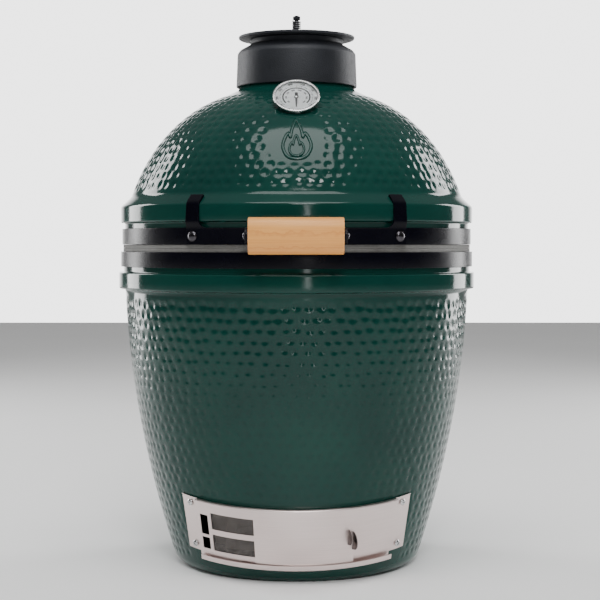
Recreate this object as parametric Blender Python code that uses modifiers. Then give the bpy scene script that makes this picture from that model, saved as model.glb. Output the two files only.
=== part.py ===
"""A mid-size ceramic kamado grill, closed, with its front towards -Y and its hinge at +Y."""

import math

import bmesh
import bpy
from mathutils import Matrix, Vector

# Overall sizes, in metres. The frame's origin is the centre of the base's flat bottom.
RIM_RADIUS = 0.2283  # ceramic under the lower band
FOOT_RADIUS = 0.158
SEAT_Z = 0.4085  # top of the base's ceramic
DOME_RISE = 0.2163  # from the seat to the crown of the dome's curve
WALL = 0.024
FLOOR = 0.026
CLEARANCE = 0.0003  # left between pieces that touch
PAINT_GAP = 0.0004  # between a bracket and the band or ring that it lies on
FOOT_ROUND = (0.008, 0.003)  # width and height of the rounded edge under the base
INNER_ROUND = 0.008  # inside the base, between floor and wall

# Ceramic rings, bands and gaskets around the parting line.
WALL_INSET = 0.0015  # the wall's own curve ends this far inside the rim
RING_PROUD = 0.0059
RING_CHAMFER = 0.0013
LOWER_RING_DROP = 0.0265  # from the seat down to the lower ring's top
LOWER_RING_HEIGHT = 0.021
BAND_THICKNESS = 0.003
LOWER_BAND_HEIGHT = 0.0192
UPPER_BAND_HEIGHT = 0.0203
UPPER_RIM_INSET = 0.0019
GASKET_THICKNESS = 0.00425
GASKET_WIDTH = 0.0194
GASKET_PROUD = 0.0006
UPPER_GROOVE = 0.0075
UPPER_RING_PROUD = 0.0052
UPPER_RING_HEIGHT = 0.021
SHOULDER_RISE = 0.0095
SHOULDER_INSET = 0.0089

# Dome curve: a superellipse whose widest level lies below the seat.
DOME_FULLNESS = 0.0123  # its widest radius beyond the rim's
DOME_DROP = 0.1035
DOME_POWER = 2.5
NECK_RADIUS = 0.0735
NECK_WALL = 0.0215
NECK_FLARE = 0.022  # width of the curve that joins the neck to the dome
CHAMBER_SLOPE = 0.030  # width of the slope inside the dome, below the flue
NECK_RISE = 0.0232  # neck top above the crown

# Fire box, ring and grates inside the base.
INNER_GAP = 0.008
LINER_WALL = 0.020
FIRE_BOX_DROP = 0.1185  # its top below the seat
FIRE_BOX_GAP = 0.0175  # around its foot
ASH_HEIGHT = 0.056  # clear height under the fire box's ledge
LEDGE_WIDTH = 0.019
LEDGE_THICKNESS = 0.012
LEDGE_SLOPE = 0.006
NOTCH_TOP = 0.014  # of the notch in front of the draft opening, above the door's middle
NOTCH_MARGIN = 4.0  # degrees beyond the draft opening
GRATE_THICKNESS = 0.008
GRATE_PITCH = 0.020
GRATE_BAR = 0.009
GRATE_PLAY = 0.003
AIR_HOLE_RADIUS = 0.008
AIR_HOLES = 6
AIR_HOLE_LEVEL = 0.52  # share of the fire box's top level
AIR_HOLE_TURN = 22.5  # azimuth of the first one
GRID_REST = 0.0096  # the grid ends this far inside the fire ring's outer edge
GRID_THICKNESS = 0.006
GRID_PITCH = 0.017
GRID_BAR = 0.005
GRID_DROP = 0.0230  # fire ring's top below the seat

# Hinge at the back.
PIN_OFFSET = 0.0367  # pin axis behind the rim
PIN_RADIUS = 0.004
PIN_PLAY = 0.0003
PIN_HEAD = (0.0070, 0.0045)  # radius and height
PIN_TAIL = 0.009  # threaded end beyond the outer ear
PIN_NUT = (0.0072, 0.0065)
EAR_THICKNESS = 0.0035
EAR_PLAY = 0.001  # between a lower ear and the upper ear inside it
BOSS_WALL = 0.005
LOWER_EAR_X = 0.040  # outer face of each lower ear
HINGE_PLATE = 0.003
HINGE_PLATE_MARGIN = 0.0048  # plate beside the lower ears
BRACKET_BOLT_X = 0.0131
SPACER_WALL = 0.0022
COIL_PLAY = 0.0017  # between the spacer tube and a spring
COIL_WIRE = 0.0014
COIL_TURNS = 4
COIL_SPAN = (0.0050, 0.0265)  # each spring's ends, from the middle
LEG_REACH = (0.0144, 0.0084)  # towards the grill, and up or down

# Handle and its two brackets on the upper band.
GRIP_DEPTH = 0.030
GRIP_HEIGHT = 0.043
GRIP_ROUND = 0.0125
GRIP_GAP = 0.027  # between the band and the grip
EAR_INNER_X = 0.0556
BRACKET_THICKNESS = 0.0028
HOOK_AZIMUTH = 32.3
HOOK_WIDTH = 0.0185
HOOK_FILLET = 0.009
BAND_BOLT_RADIUS = 0.0025
HANDLE_BOLT_HEAD = (0.0062, 0.7)  # radius and doming
HINGE_BOLT_HEAD = (0.0055, 0.6)
SMALL_SCREW_HEAD = (0.0042, 0.0026)  # radius and height
GRIP_SCREW_LENGTH = 0.020

# Dial thermometer, seen along its own axis.
GAUGE_TURN = 14.92  # degrees that its face is steeper than the dome under it
GAUGE_DROP = 0.0306  # where its stem enters the dome, below the crown
GAUGE_STANDOFF = 0.0118
DIAL_RADIUS = 0.0270
DIAL_LEVEL = -0.0047
DIAL_THICKNESS = 0.0006
BEZEL_RIM = 0.00225  # width of the bezel around the dial
CASE_WALL = 0.0022
CASE_DEPTH = 0.0050  # inside
CASE_BACK = 0.0014
LENS_LEVEL = -0.0024
LENS_THICKNESS = 0.0012
NEEDLE_LEVEL = -0.0036
NEEDLE_THICKNESS = 0.0005
NEEDLE_TAIL = 0.0080
NEEDLE_TIP = 0.0195
NEEDLE_HUB = 0.0028
STEM_RADIUS = 0.0024
STEM_PLAY = 0.0012
STEM_LENGTH = 0.078
CLIP_RADIUS = 0.008
CLIP_HEIGHT = 0.005
CLIP_GAP = 0.0092  # between the dome's inside and the clip

# Cast-iron top on the chimney.
SEAL_THICKNESS = 0.0021
COLLAR_TAPER = 0.0017
COLLAR_HEIGHT = 0.0435
COLLAR_SHOULDER = 0.0045
COLLAR_WALL = 0.0034
TOP_STEP = 0.0186  # the top is narrower than the collar by this
TOP_WALL = 0.0035
TOP_RISE = 0.0627  # top plate's upper face above the collar's lower edge
TOP_THICKNESS = 0.004
SEAL_HEIGHT = 0.015
SEAL_DROP = 0.003  # its top below the neck's
DAMPER_RADIUS = 0.0764
DAMPER_THICKNESS = 0.0036
PETALS = 5
PETAL_INNER = 0.019
PETAL_MARGIN = 0.011  # from a vent to the top's edge
PETAL_ARC = 32.0
PIVOT_RADIUS = 0.0029
PIVOT_HEAD = (0.0055, 0.004)  # radius and height
PIVOT_TIP = 0.0015  # beyond the nut
HUB_HEIGHT = 0.0080
HUB_RADIUS = 0.0062
DAMPER_COIL_PLAY = 0.0011
DAMPER_COIL_WIRE = 0.00095
DAMPER_COIL_TURNS = 4
DAMPER_COIL_LENGTH = 0.0122
NUT_HEIGHT = 0.0042
NUT_WALL = 0.0027

# Draft door: sheets rolled about an axis that leans forward at its top.
DRAFT_Z = 0.0571  # level of the door's middle at the front
DRAFT_TIP = 1.57  # degrees that the sheets lean beyond the wall
DRAFT_SHIFT = 0.005  # roll axis behind the grill's own axis
DRAFT_STANDOFF = 0.0018  # back of the frame beyond the wall
DRAFT_CONE = 0.15  # growth of the rolled radius per unit of height
DRAFT_HALF_HEIGHT = 0.0411
DRAFT_SEAT_MARGIN = (0.002, 1.5)  # above and below the frame, and degrees beside it
DRAFT_ARC = 48.8
RAIL_ARC = 40.2
MARGIN_RISE = 0.0096  # the plate beside the rails ends this far above the frame's foot
MARGIN_DROP = 0.011  # and its folds this far below the frame's top
SHEET = 0.0012
CHANNEL = 0.0047  # room between the frame's plate and its front lips
CHANNEL_PLAY = 0.0008  # above and below the doors
LIP = 0.0072
FOLD = 0.0015
OPENING_FROM = -40.3
OPENING_TO = -5.0
OPENING_DROP = 0.0146  # its top below the frame's top
DOOR_FROM = -16.0
DOOR_TO = 22.4
DOOR_LAYER = 0.0037  # back of the solid door in front of the frame's back
DOOR_SHEET = 0.0011
TAB_SPAN = (-0.0175, 0.0095)
TAB_ROUND = 0.011
SCREEN_FROM = -41.2
SCREEN_TO = -3.0
SCREEN_LAYER = 0.0024
SCREEN_SHEET = 0.0009
MESH_LAYER = 0.0017
MESH_SHEET = 0.0004
MESH_LAP = (0.6, 0.002)  # degrees and height that the mesh reaches behind the frame
SCREEN_BAR = 0.0074
WINDOW_FROM = -34.1
WINDOW_TO = -6.0
WINDOW_MARGIN = 0.0011  # the windows are lower than the opening by this
FINGER_SLOT = (-39.4, -35.7)  # azimuths of the two slots that a finger slides the screen by
FINGER_SLOT_HEIGHTS = ((-0.025, -0.0095), (-0.0055, 0.0211))
SCREW_AZIMUTH = 44.3
SCREW_DROP = 0.0086  # upper screws below the frame's top
SCREW_RISE = 0.008  # lower screws above the foot of the plate
SCREW_RADIUS = 0.002
SCREW_LENGTH = 0.016

# Fineness of the turned shapes.
SHELL_STEPS = 36
LINER_STEPS = 24
SMALL_STEPS = 16


def base_radius(z):
    """Outer radius of the base's wall: a parabola that ends upright at the rim."""
    share = z / SEAT_Z
    return FOOT_RADIUS + (RIM_RADIUS - WALL_INSET - FOOT_RADIUS) * (2 * share - share * share)


def liner_radius(z):
    """Outer radius of the fire box and the fire ring."""
    return base_radius(z) - WALL - INNER_GAP


# Levels and radii that follow from the sizes above.
LOWER_RING_TOP = SEAT_Z - LOWER_RING_DROP
LOWER_RING_BOTTOM = LOWER_RING_TOP - LOWER_RING_HEIGHT
PARTING_Z = SEAT_Z + CLEARANCE + GASKET_THICKNESS + CLEARANCE / 2
UPPER_SEAT_Z = SEAT_Z + 2 * GASKET_THICKNESS + 3 * CLEARANCE
UPPER_RIM = RIM_RADIUS - UPPER_RIM_INSET
UPPER_BAND_TOP = UPPER_SEAT_Z + UPPER_BAND_HEIGHT
UPPER_RING_BOTTOM = UPPER_BAND_TOP + UPPER_GROOVE
UPPER_RING_TOP = UPPER_RING_BOTTOM + UPPER_RING_HEIGHT
UPPER_RING_RADIUS = UPPER_RIM + UPPER_RING_PROUD
SHOULDER_Z = UPPER_RING_TOP + SHOULDER_RISE
LOWER_BAND_OUTER = RIM_RADIUS + CLEARANCE + BAND_THICKNESS
UPPER_BAND_OUTER = UPPER_RIM + CLEARANCE + BAND_THICKNESS
CROWN_Z = SEAT_Z + DOME_RISE
NECK_TOP = CROWN_Z + NECK_RISE
COLLAR_BOTTOM = CROWN_Z - CLEARANCE / 3
COLLAR_RADIUS = NECK_RADIUS + SEAL_THICKNESS + 2 * CLEARANCE + COLLAR_WALL
TOP_RADIUS = COLLAR_RADIUS - TOP_STEP
PETAL_OUTER = TOP_RADIUS - PETAL_MARGIN
FLUE_RADIUS = NECK_RADIUS - NECK_WALL
DAMPER_COIL_RADIUS = PIVOT_RADIUS + DAMPER_COIL_PLAY + DAMPER_COIL_WIRE
TOP_PLATE_Z = COLLAR_BOTTOM + TOP_RISE
DAMPER_Z = TOP_PLATE_Z + CLEARANCE
HUB_TOP = DAMPER_Z + DAMPER_THICKNESS + HUB_HEIGHT
COIL_BASE = HUB_TOP + CLEARANCE + DAMPER_COIL_WIRE
NUT_Z = COIL_BASE + DAMPER_COIL_LENGTH + DAMPER_COIL_WIRE + CLEARANCE
PIN_Y = RIM_RADIUS + PIN_OFFSET
BOSS_RADIUS = PIN_RADIUS + BOSS_WALL
UPPER_EAR_X = LOWER_EAR_X - EAR_THICKNESS - EAR_PLAY
SPACER_RADIUS = PIN_RADIUS + PIN_PLAY + SPACER_WALL
COIL_RADIUS = SPACER_RADIUS + COIL_PLAY + COIL_WIRE
LEDGE_Z = FLOOR + ASH_HEIGHT + LEDGE_THICKNESS
GRID_Z = SEAT_Z - GRID_DROP
GRID_RADIUS = liner_radius(GRID_Z) - GRID_REST
FIRE_BOX_TOP = SEAT_Z - FIRE_BOX_DROP
FIRE_BOX_FOOT = base_radius(FLOOR) - WALL - FIRE_BOX_GAP
GRATE_SEAT_RADIUS = FIRE_BOX_FOOT - LINER_WALL
LEDGE_RADIUS = GRATE_SEAT_RADIUS - LEDGE_WIDTH
GRIP_Y = -(UPPER_BAND_OUTER + GRIP_GAP + GRIP_DEPTH / 2)
GRIP_Z = (UPPER_SEAT_Z + UPPER_BAND_TOP) / 2
DOOR_HALF_HEIGHT = DRAFT_HALF_HEIGHT - SHEET - CHANNEL_PLAY
OPENING_HALF_HEIGHT = DRAFT_HALF_HEIGHT - OPENING_DROP
WINDOW_HALF_HEIGHT = OPENING_HALF_HEIGHT - WINDOW_MARGIN
MARGIN_HEAD = DRAFT_HALF_HEIGHT - MARGIN_DROP
MARGIN_FOOT = MARGIN_RISE - DRAFT_HALF_HEIGHT
SCREW_HEIGHTS = {"upper": DRAFT_HALF_HEIGHT - SCREW_DROP, "lower": MARGIN_FOOT + SCREW_RISE}
WALL_SLOPE = 2 * (RIM_RADIUS - WALL_INSET - FOOT_RADIUS) * (1 - DRAFT_Z / SEAT_Z) / SEAT_Z
DRAFT_LEAN = math.atan(WALL_SLOPE) - math.atan(DRAFT_CONE) + math.radians(DRAFT_TIP)


def dome_radius(z, inset=0.0):
    """Radius of the dome's curve at a level, for a surface that lies inset from the outer one."""
    wide = RIM_RADIUS + DOME_FULLNESS - inset
    tall = DOME_RISE + DOME_DROP - inset
    share = (z - SEAT_Z + DOME_DROP) / tall
    return wide * (1 - share**DOME_POWER) ** (1 / DOME_POWER)


def dome_height(radius, inset=0.0):
    """Level of the dome's curve at a radius."""
    wide = RIM_RADIUS + DOME_FULLNESS - inset
    tall = DOME_RISE + DOME_DROP - inset
    return SEAT_Z - DOME_DROP + tall * (1 - (radius / wide) ** DOME_POWER) ** (1 / DOME_POWER)


# Scene, materials and small helpers.
for leftover in list(bpy.data.objects):
    bpy.data.objects.remove(leftover, do_unlink=True)

PARTS = bpy.data.collections.new("kamado_grill")
CUTTERS = bpy.data.collections.new("cutters")
bpy.context.scene.collection.children.link(PARTS)
bpy.context.scene.collection.children.link(CUTTERS)


def paint(name, colour, roughness, metallic=0.0):
    material = bpy.data.materials.new(name)
    material.use_nodes = True
    shader = material.node_tree.nodes["Principled BSDF"]
    shader.inputs["Base Color"].default_value = (*colour, 1.0)
    shader.inputs["Roughness"].default_value = roughness
    shader.inputs["Metallic"].default_value = metallic
    return material


GLAZE = paint("green_glaze", (0.012, 0.085, 0.060), 0.12)
FIRECLAY = paint("fireclay", (0.42, 0.33, 0.25), 0.85)
FELT = paint("gasket_felt", (0.55, 0.54, 0.50), 0.95)
BLACK = paint("black_enamel", (0.010, 0.010, 0.014), 0.25)
IRON = paint("cast_iron", (0.030, 0.032, 0.036), 0.55, 0.3)
STAINLESS = paint("stainless", (0.62, 0.58, 0.56), 0.28, 1.0)
ZINC = paint("bright_zinc", (0.62, 0.62, 0.62), 0.25, 1.0)
SPRING = paint("spring_steel", (0.10, 0.10, 0.11), 0.35, 1.0)
BEECH = paint("beech", (0.72, 0.47, 0.24), 0.5)
DIAL = paint("dial_white", (0.85, 0.86, 0.86), 0.4)
GLASS = paint("gauge_glass", (0.9, 0.9, 0.9), 0.05)
NEEDLE = paint("needle_black", (0.01, 0.01, 0.01), 0.4)
SEAL = paint("silicone_seal", (0.03, 0.03, 0.03), 0.6)
MESH = paint("screen_wire", (0.12, 0.11, 0.11), 0.45, 1.0)
GRID_WIRE = paint("grid_wire", (0.55, 0.54, 0.52), 0.3, 1.0)


def empty(name, location, rotation=(0, 0, 0), parent=None):
    """An axis that pieces hang on."""
    axis = bpy.data.objects.new(name, None)
    PARTS.objects.link(axis)
    axis.location = location
    axis.rotation_euler = rotation
    if parent:
        keep_place(axis, parent)
    bpy.context.view_layer.update()
    return axis


def keep_place(piece, parent):
    """Parents a piece that is already where it belongs in the world."""
    piece.parent = parent
    piece.matrix_parent_inverse = parent.matrix_world.inverted()
    bpy.context.view_layer.update()


def add(name, mesh, material, parent=None, location=(0, 0, 0), rotation=(0, 0, 0)):
    """Adds a part, or a cutter if it has no material."""
    piece = bpy.data.objects.new(name, mesh)
    piece.location = location
    piece.rotation_euler = rotation
    if parent:
        piece.parent = parent
    if material:
        PARTS.objects.link(piece)
        mesh.materials.append(material)
    else:
        CUTTERS.objects.link(piece)
        piece.hide_render = True
        piece.display_type = "WIRE"
    bpy.context.view_layer.update()
    return piece


def turned(name, profile, material, closed=False, arc=(0, 360), steps=SHELL_STEPS, thickness=0.0, **place):
    """A profile of (radius, height) points swept about Z. Azimuth 0 is -Y and 90 is +X."""
    start = math.radians(arc[0])
    mesh = bpy.data.meshes.new(name)
    shape = bmesh.new()
    corners = [shape.verts.new((r * math.sin(start), -r * math.cos(start), z)) for r, z in profile]
    for first, second in zip(corners, corners[1:]):
        shape.edges.new((first, second))
    if closed:
        shape.edges.new((corners[-1], corners[0]))
    shape.to_mesh(mesh)
    shape.free()
    piece = add(name, mesh, material, **place)
    sweep = piece.modifiers.new("turn", "SCREW")
    sweep.angle = math.radians(arc[1] - arc[0])
    sweep.steps = steps
    sweep.render_steps = steps
    sweep.use_smooth_shade = True
    sweep.use_merge_vertices = arc[1] - arc[0] == 360
    sweep.merge_threshold = 0.00001
    if thickness:
        shell = piece.modifiers.new("thickness", "SOLIDIFY")
        shell.thickness = thickness
        shell.offset = 1
        shell.use_even_offset = True
    return piece


def cylinder(name, radius, low, high, material=None, sides=SMALL_STEPS, **place):
    """A round bar along its own Z, from low to high."""
    mesh = bpy.data.meshes.new(name)
    shape = bmesh.new()
    middle = Matrix.Translation((0, 0, (low + high) / 2))
    bmesh.ops.create_cone(
        shape, cap_ends=True, segments=sides, radius1=radius, radius2=radius, depth=high - low, matrix=middle
    )
    shape.to_mesh(mesh)
    shape.free()
    return add(name, mesh, material, **place)


def as_mesh(curve, material, parent):
    """A curve's solid as a mesh with its caps welded on, in the curve's place."""
    bpy.context.view_layer.update()
    evaluated = curve.evaluated_get(bpy.context.evaluated_depsgraph_get())
    mesh = bpy.data.meshes.new_from_object(evaluated)
    shape = bmesh.new()
    shape.from_mesh(mesh)
    bmesh.ops.remove_doubles(shape, verts=shape.verts, dist=0.000005)
    bmesh.ops.recalc_face_normals(shape, faces=shape.faces)
    shape.to_mesh(mesh)
    shape.free()
    name, place = curve.name, curve.matrix_world.copy()
    mesh.materials.clear()
    bpy.data.objects.remove(curve, do_unlink=True)
    piece = add(name, mesh, material)
    piece.name = name
    piece.matrix_world = place
    if parent:
        keep_place(piece, parent)
    return piece


def plate(name, outlines, thickness, material=None, axes="XY", at=0.0, parent=None, frame=None):
    """A flat outline with its holes, given thickness about its own plane. axes names that plane."""
    curve = bpy.data.curves.new(name, "CURVE")
    curve.dimensions = "2D"
    curve.fill_mode = "BOTH"
    curve.extrude = thickness / 2
    for outline in outlines:
        spline = curve.splines.new("POLY")
        spline.points.add(len(outline) - 1)
        for point, (u, v) in zip(spline.points, outline):
            point.co = (u, v, 0, 1)
        spline.use_cyclic_u = True
    flat = bpy.data.objects.new(name, curve)
    PARTS.objects.link(flat)
    if axes == "YZ":
        flat.matrix_world = Matrix(((0, 0, 1, at), (1, 0, 0, 0), (0, 1, 0, 0), (0, 0, 0, 1)))
    elif axes == "XZ":
        flat.matrix_world = Matrix(((1, 0, 0, 0), (0, 0, -1, at), (0, 1, 0, 0), (0, 0, 0, 1)))
    else:
        flat.matrix_world = Matrix.Translation((0, 0, at))
    if frame:
        flat.matrix_world = frame @ flat.matrix_world
    return as_mesh(flat, material, parent)


def wire(name, points, radius, material, parent=None):
    """A round wire through the points, as a mesh."""
    curve = bpy.data.curves.new(name, "CURVE")
    curve.dimensions = "3D"
    curve.bevel_depth = radius
    curve.bevel_resolution = 1
    curve.use_fill_caps = True
    spline = curve.splines.new("POLY")
    spline.points.add(len(points) - 1)
    for point, place in zip(spline.points, points):
        point.co = (*place, 1)
    tube = bpy.data.objects.new(name, curve)
    PARTS.objects.link(tube)
    return as_mesh(tube, material, parent)


def combine(piece, other, operation):
    step = piece.modifiers.new(operation.lower(), "BOOLEAN")
    step.operation = operation
    step.solver = "EXACT"
    step.object = other


def cut(piece, *cutters):
    for cutter in cutters:
        combine(piece, cutter, "DIFFERENCE")


def helper(piece):
    """Marks a solid that only lends its shape to another one."""
    PARTS.objects.unlink(piece)
    CUTTERS.objects.link(piece)
    piece.hide_render = True
    piece.display_type = "WIRE"
    return piece


def arc_points(centre, radius, start, end, count):
    """Points on an arc, angles in degrees from the outline's first axis."""
    angles = [math.radians(start + (end - start) * i / (count - 1)) for i in range(count)]
    return [(centre[0] + radius * math.cos(a), centre[1] + radius * math.sin(a)) for a in angles]


def circle(radius, count, centre=(0, 0)):
    return arc_points(centre, radius, 0, 360 - 360 / count, count)


def rectangle_ring(inner, outer, low, high):
    """Profile of a plain ring, down its outer side first."""
    return [(outer, high), (outer, low), (inner, low), (inner, high)]


def nut_profile(hole, outer, low, high):
    """Profile of a six-sided nut whose flats clear a round shank."""
    return rectangle_ring(hole / math.cos(math.pi / 6), outer, low, high)


def radial(azimuth):
    """Rotation that turns a piece's own Z outwards along an azimuth."""
    return (math.radians(90), 0, math.radians(azimuth))


def screw_profile(radius, length, head_radius, head_height, dome=0.35):
    """Head above Z 0 and shank below it."""
    return [
        (0, head_height),
        (head_radius * 0.6, head_height * (1 - dome * 0.3)),
        (head_radius, head_height * (1 - dome) * 0.5),
        (head_radius, 0),
        (radius, 0),
        (radius, -length),
        (0, -length),
    ]


DOME_PIVOT = empty("dome_pivot", (0, PIN_Y, PARTING_Z))


# Ceramic base and what stands in it.
def base_profile():
    lower_ring = RIM_RADIUS + RING_PROUD
    inner_levels = [FLOOR + INNER_ROUND, SEAT_Z * 0.22, SEAT_Z * 0.44, SEAT_Z * 0.66, SEAT_Z]
    edge, lift = FOOT_ROUND
    foot = base_radius(0)
    outer_levels = [LOWER_RING_BOTTOM - RING_PROUD]
    outer_levels += [*reversed(inner_levels[1:-1]), FLOOR, 3 * lift]
    profile = [(0, FLOOR), (base_radius(FLOOR) - WALL - INNER_ROUND, FLOOR)]
    profile += [(base_radius(z) - WALL, z) for z in inner_levels]
    profile += [
        (RIM_RADIUS, SEAT_Z),
        (RIM_RADIUS, LOWER_RING_TOP),
        (lower_ring - RING_CHAMFER, LOWER_RING_TOP),
        (lower_ring, LOWER_RING_TOP - RING_CHAMFER),
        (lower_ring, LOWER_RING_BOTTOM + RING_CHAMFER),
        (lower_ring - RING_CHAMFER, LOWER_RING_BOTTOM),
    ]
    profile += [(base_radius(z), z) for z in outer_levels]
    return [*profile, (foot - edge / 8, lift), (foot - edge, 0), (0, 0)]


def draft_back(height):
    """Radius of the draft frame's back about the roll axis."""
    middle = base_radius(DRAFT_Z) + DRAFT_SHIFT / math.cos(DRAFT_LEAN) + DRAFT_STANDOFF
    return middle + DRAFT_CONE * height


def draft_axis():
    rise = draft_back(0) * math.sin(DRAFT_LEAN)
    return empty("draft_axis", (0, DRAFT_SHIFT, DRAFT_Z + rise), (DRAFT_LEAN, 0, 0))


DRAFT_AXIS = draft_axis()


def rolled(name, material, offset, half_height, arc, thickness, steps, low=None):
    """A sheet rolled about the draft axis, its back offset from the back of the frame."""
    bottom = -half_height if low is None else low
    profile = [(draft_back(h) + offset, h) for h in (half_height, bottom)]
    return turned(name, profile, material, arc=arc, steps=steps, thickness=thickness, parent=DRAFT_AXIS)


def draft_screw_places():
    """Name, azimuth and height of each screw of the draft frame."""
    for side, azimuth in (("left", -SCREW_AZIMUTH), ("right", SCREW_AZIMUTH)):
        for level, height in SCREW_HEIGHTS.items():
            yield f"{level}_{side}", azimuth, height


def on_roll(azimuth, height, offset):
    """Place and rotation, in the draft axis's frame, of something square to the rolled sheet."""
    turn = math.radians(azimuth)
    radius = draft_back(height) + offset
    place = (radius * math.sin(turn), -radius * math.cos(turn), height)
    return {"location": place, "rotation": radial(azimuth), "parent": DRAFT_AXIS}


def make_base():
    shell = turned("base_shell", base_profile(), GLAZE)
    margin, beside = DRAFT_SEAT_MARGIN
    arc = (-DRAFT_ARC - beside, DRAFT_ARC + beside)
    seat = rolled("draft_seat_cutter", None, -CLEARANCE, DRAFT_HALF_HEIGHT + margin, arc, WALL, 16)
    arc = (OPENING_FROM, OPENING_TO)
    through = 2 * WALL
    opening = rolled("draft_opening_cutter", None, -through, OPENING_HALF_HEIGHT, arc, 2 * through, 6)
    cut(shell, seat, opening)
    for place, azimuth, height in draft_screw_places():
        hole = SCREW_RADIUS + CLEARANCE
        depth = SCREW_LENGTH + DRAFT_STANDOFF
        cut(shell, cylinder(f"{place}_bore", hole, -depth, WALL, sides=10, **on_roll(azimuth, height, 0)))
    turned("lower_gasket", gasket_profile(SEAT_Z + CLEARANCE), FELT, closed=True)


def gasket_profile(low):
    outer = RIM_RADIUS + GASKET_PROUD
    return rectangle_ring(outer - GASKET_WIDTH, outer, low, low + GASKET_THICKNESS)


def make_fire_box():
    levels = [FIRE_BOX_TOP, FIRE_BOX_TOP * 0.7, FIRE_BOX_TOP * 0.42]
    foot_top = FLOOR + ASH_HEIGHT * 0.7
    profile = [(liner_radius(z), z) for z in levels]
    profile += [
        (FIRE_BOX_FOOT, foot_top),
        (FIRE_BOX_FOOT, FLOOR + CLEARANCE),
        (FIRE_BOX_FOOT - LINER_WALL, FLOOR + CLEARANCE),
        (FIRE_BOX_FOOT - LINER_WALL, FLOOR + ASH_HEIGHT - LEDGE_SLOPE),
        (LEDGE_RADIUS, FLOOR + ASH_HEIGHT),
        (LEDGE_RADIUS, LEDGE_Z),
        (GRATE_SEAT_RADIUS, LEDGE_Z),
    ]
    profile += [(liner_radius(z) - LINER_WALL, z) for z in reversed(levels)]
    box = turned("fire_box", profile, FIRECLAY, closed=True, steps=LINER_STEPS)
    arc = (OPENING_FROM - NOTCH_MARGIN, OPENING_TO + NOTCH_MARGIN)
    reach = draft_back(0) - LEDGE_RADIUS - LEDGE_SLOPE
    depth = reach - WALL / 2
    cut(box, rolled("fire_box_notch", None, -reach, NOTCH_TOP, arc, depth, 6, low=-DRAFT_Z - WALL / 2))
    height = FIRE_BOX_TOP * AIR_HOLE_LEVEL
    outer = liner_radius(height)
    for index in range(AIR_HOLES):
        place = {"location": (0, 0, height), "rotation": radial(AIR_HOLE_TURN + 360 * index / AIR_HOLES)}
        name = f"air_hole_{index}"
        ends = (outer - 2 * LINER_WALL, outer + LINER_WALL)
        cut(box, cylinder(name, AIR_HOLE_RADIUS, *ends, sides=8, **place))


def make_fire_ring():
    top = GRID_Z
    low = FIRE_BOX_TOP + CLEARANCE
    ring = [
        (liner_radius(top), top),
        (liner_radius(low), low),
        (liner_radius(low) - LINER_WALL, low),
        (liner_radius(top) - LINER_WALL, top),
    ]
    turned("fire_ring", ring, FIRECLAY, closed=True, steps=LINER_STEPS)


def bars(radius, pitch, bar):
    """Slots across a round grid, leaving bars between them."""
    slots = []
    count = int((radius - bar) / pitch)
    for index in range(-count, count + 1):
        x = index * pitch
        half = math.sqrt(max(radius * radius - (abs(x) + pitch / 2) ** 2, 0)) - bar * 1.2
        if half < pitch:
            continue
        side = (pitch - bar) / 2
        for low, high in ((-half, -bar / 2), (bar / 2, half)):
            slots.append([(x - side, low), (x + side, low), (x + side, high), (x - side, high)])
    return slots


def make_grids():
    slots = bars(GRID_RADIUS - GRID_BAR / 2, GRID_PITCH, GRID_BAR)
    height = GRID_Z + CLEARANCE + GRID_THICKNESS / 2
    plate("cooking_grid", [circle(GRID_RADIUS, SHELL_STEPS), *slots], GRID_THICKNESS, GRID_WIRE, at=height)
    radius = GRATE_SEAT_RADIUS - GRATE_PLAY
    slots = bars(radius - 2 * GRATE_PLAY, GRATE_PITCH, GRATE_BAR)
    height = LEDGE_Z + CLEARANCE + GRATE_THICKNESS / 2
    plate("fire_grate", [circle(radius, SHELL_STEPS), *slots], GRATE_THICKNESS, IRON, at=height)


# Dome and its gasket.
def dome_profile():
    ring = UPPER_RING_RADIUS
    flare = NECK_RADIUS + NECK_FLARE
    outer_levels = [SHOULDER_Z + (CROWN_Z - SHOULDER_Z) * share for share in (0.12, 0.33, 0.54, 0.70, 0.82)]
    inside = CROWN_Z - UPPER_SEAT_Z
    inner_levels = [UPPER_SEAT_Z + inside * share for share in (0.76, 0.54, 0.28, 0)]
    slope = FLUE_RADIUS + CHAMBER_SLOPE
    profile = [
        (NECK_RADIUS, NECK_TOP),
        (NECK_RADIUS, CROWN_Z),
        (NECK_RADIUS + NECK_FLARE / 5, CROWN_Z - NECK_FLARE / 4),
        (flare, dome_height(flare)),
    ]
    profile += [(dome_radius(z), z) for z in reversed(outer_levels)]
    profile += [
        (ring - RING_CHAMFER - SHOULDER_INSET, SHOULDER_Z),
        (ring - RING_CHAMFER, UPPER_RING_TOP),
        (ring, UPPER_RING_TOP - RING_CHAMFER),
        (ring, UPPER_RING_BOTTOM + RING_CHAMFER),
        (ring - RING_CHAMFER, UPPER_RING_BOTTOM),
        (UPPER_RIM, UPPER_RING_BOTTOM),
        (UPPER_RIM, UPPER_SEAT_Z),
    ]
    profile += [(dome_radius(z, WALL), z) for z in reversed(inner_levels)]
    profile += [(radius, dome_height(radius, WALL)) for radius in (slope, FLUE_RADIUS)]
    return [*profile, (FLUE_RADIUS, NECK_TOP)]


def gauge_axis():
    """The thermometer's own frame: its face is level there, at Z 0."""
    enters = CROWN_Z - GAUGE_DROP
    step = GAUGE_STANDOFF / 10
    narrowing = dome_radius(enters - step) - dome_radius(enters + step)
    tilt = math.atan2(2 * step, narrowing) + math.radians(GAUGE_TURN)
    reach = dome_radius(enters) + GAUGE_STANDOFF * math.sin(tilt)
    height = enters + GAUGE_STANDOFF * math.cos(tilt)
    axis = empty("gauge_axis", (0, -reach, height), (tilt, 0, 0))
    keep_place(axis, DOME_PIVOT)
    return axis


GAUGE_AXIS = gauge_axis()


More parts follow.
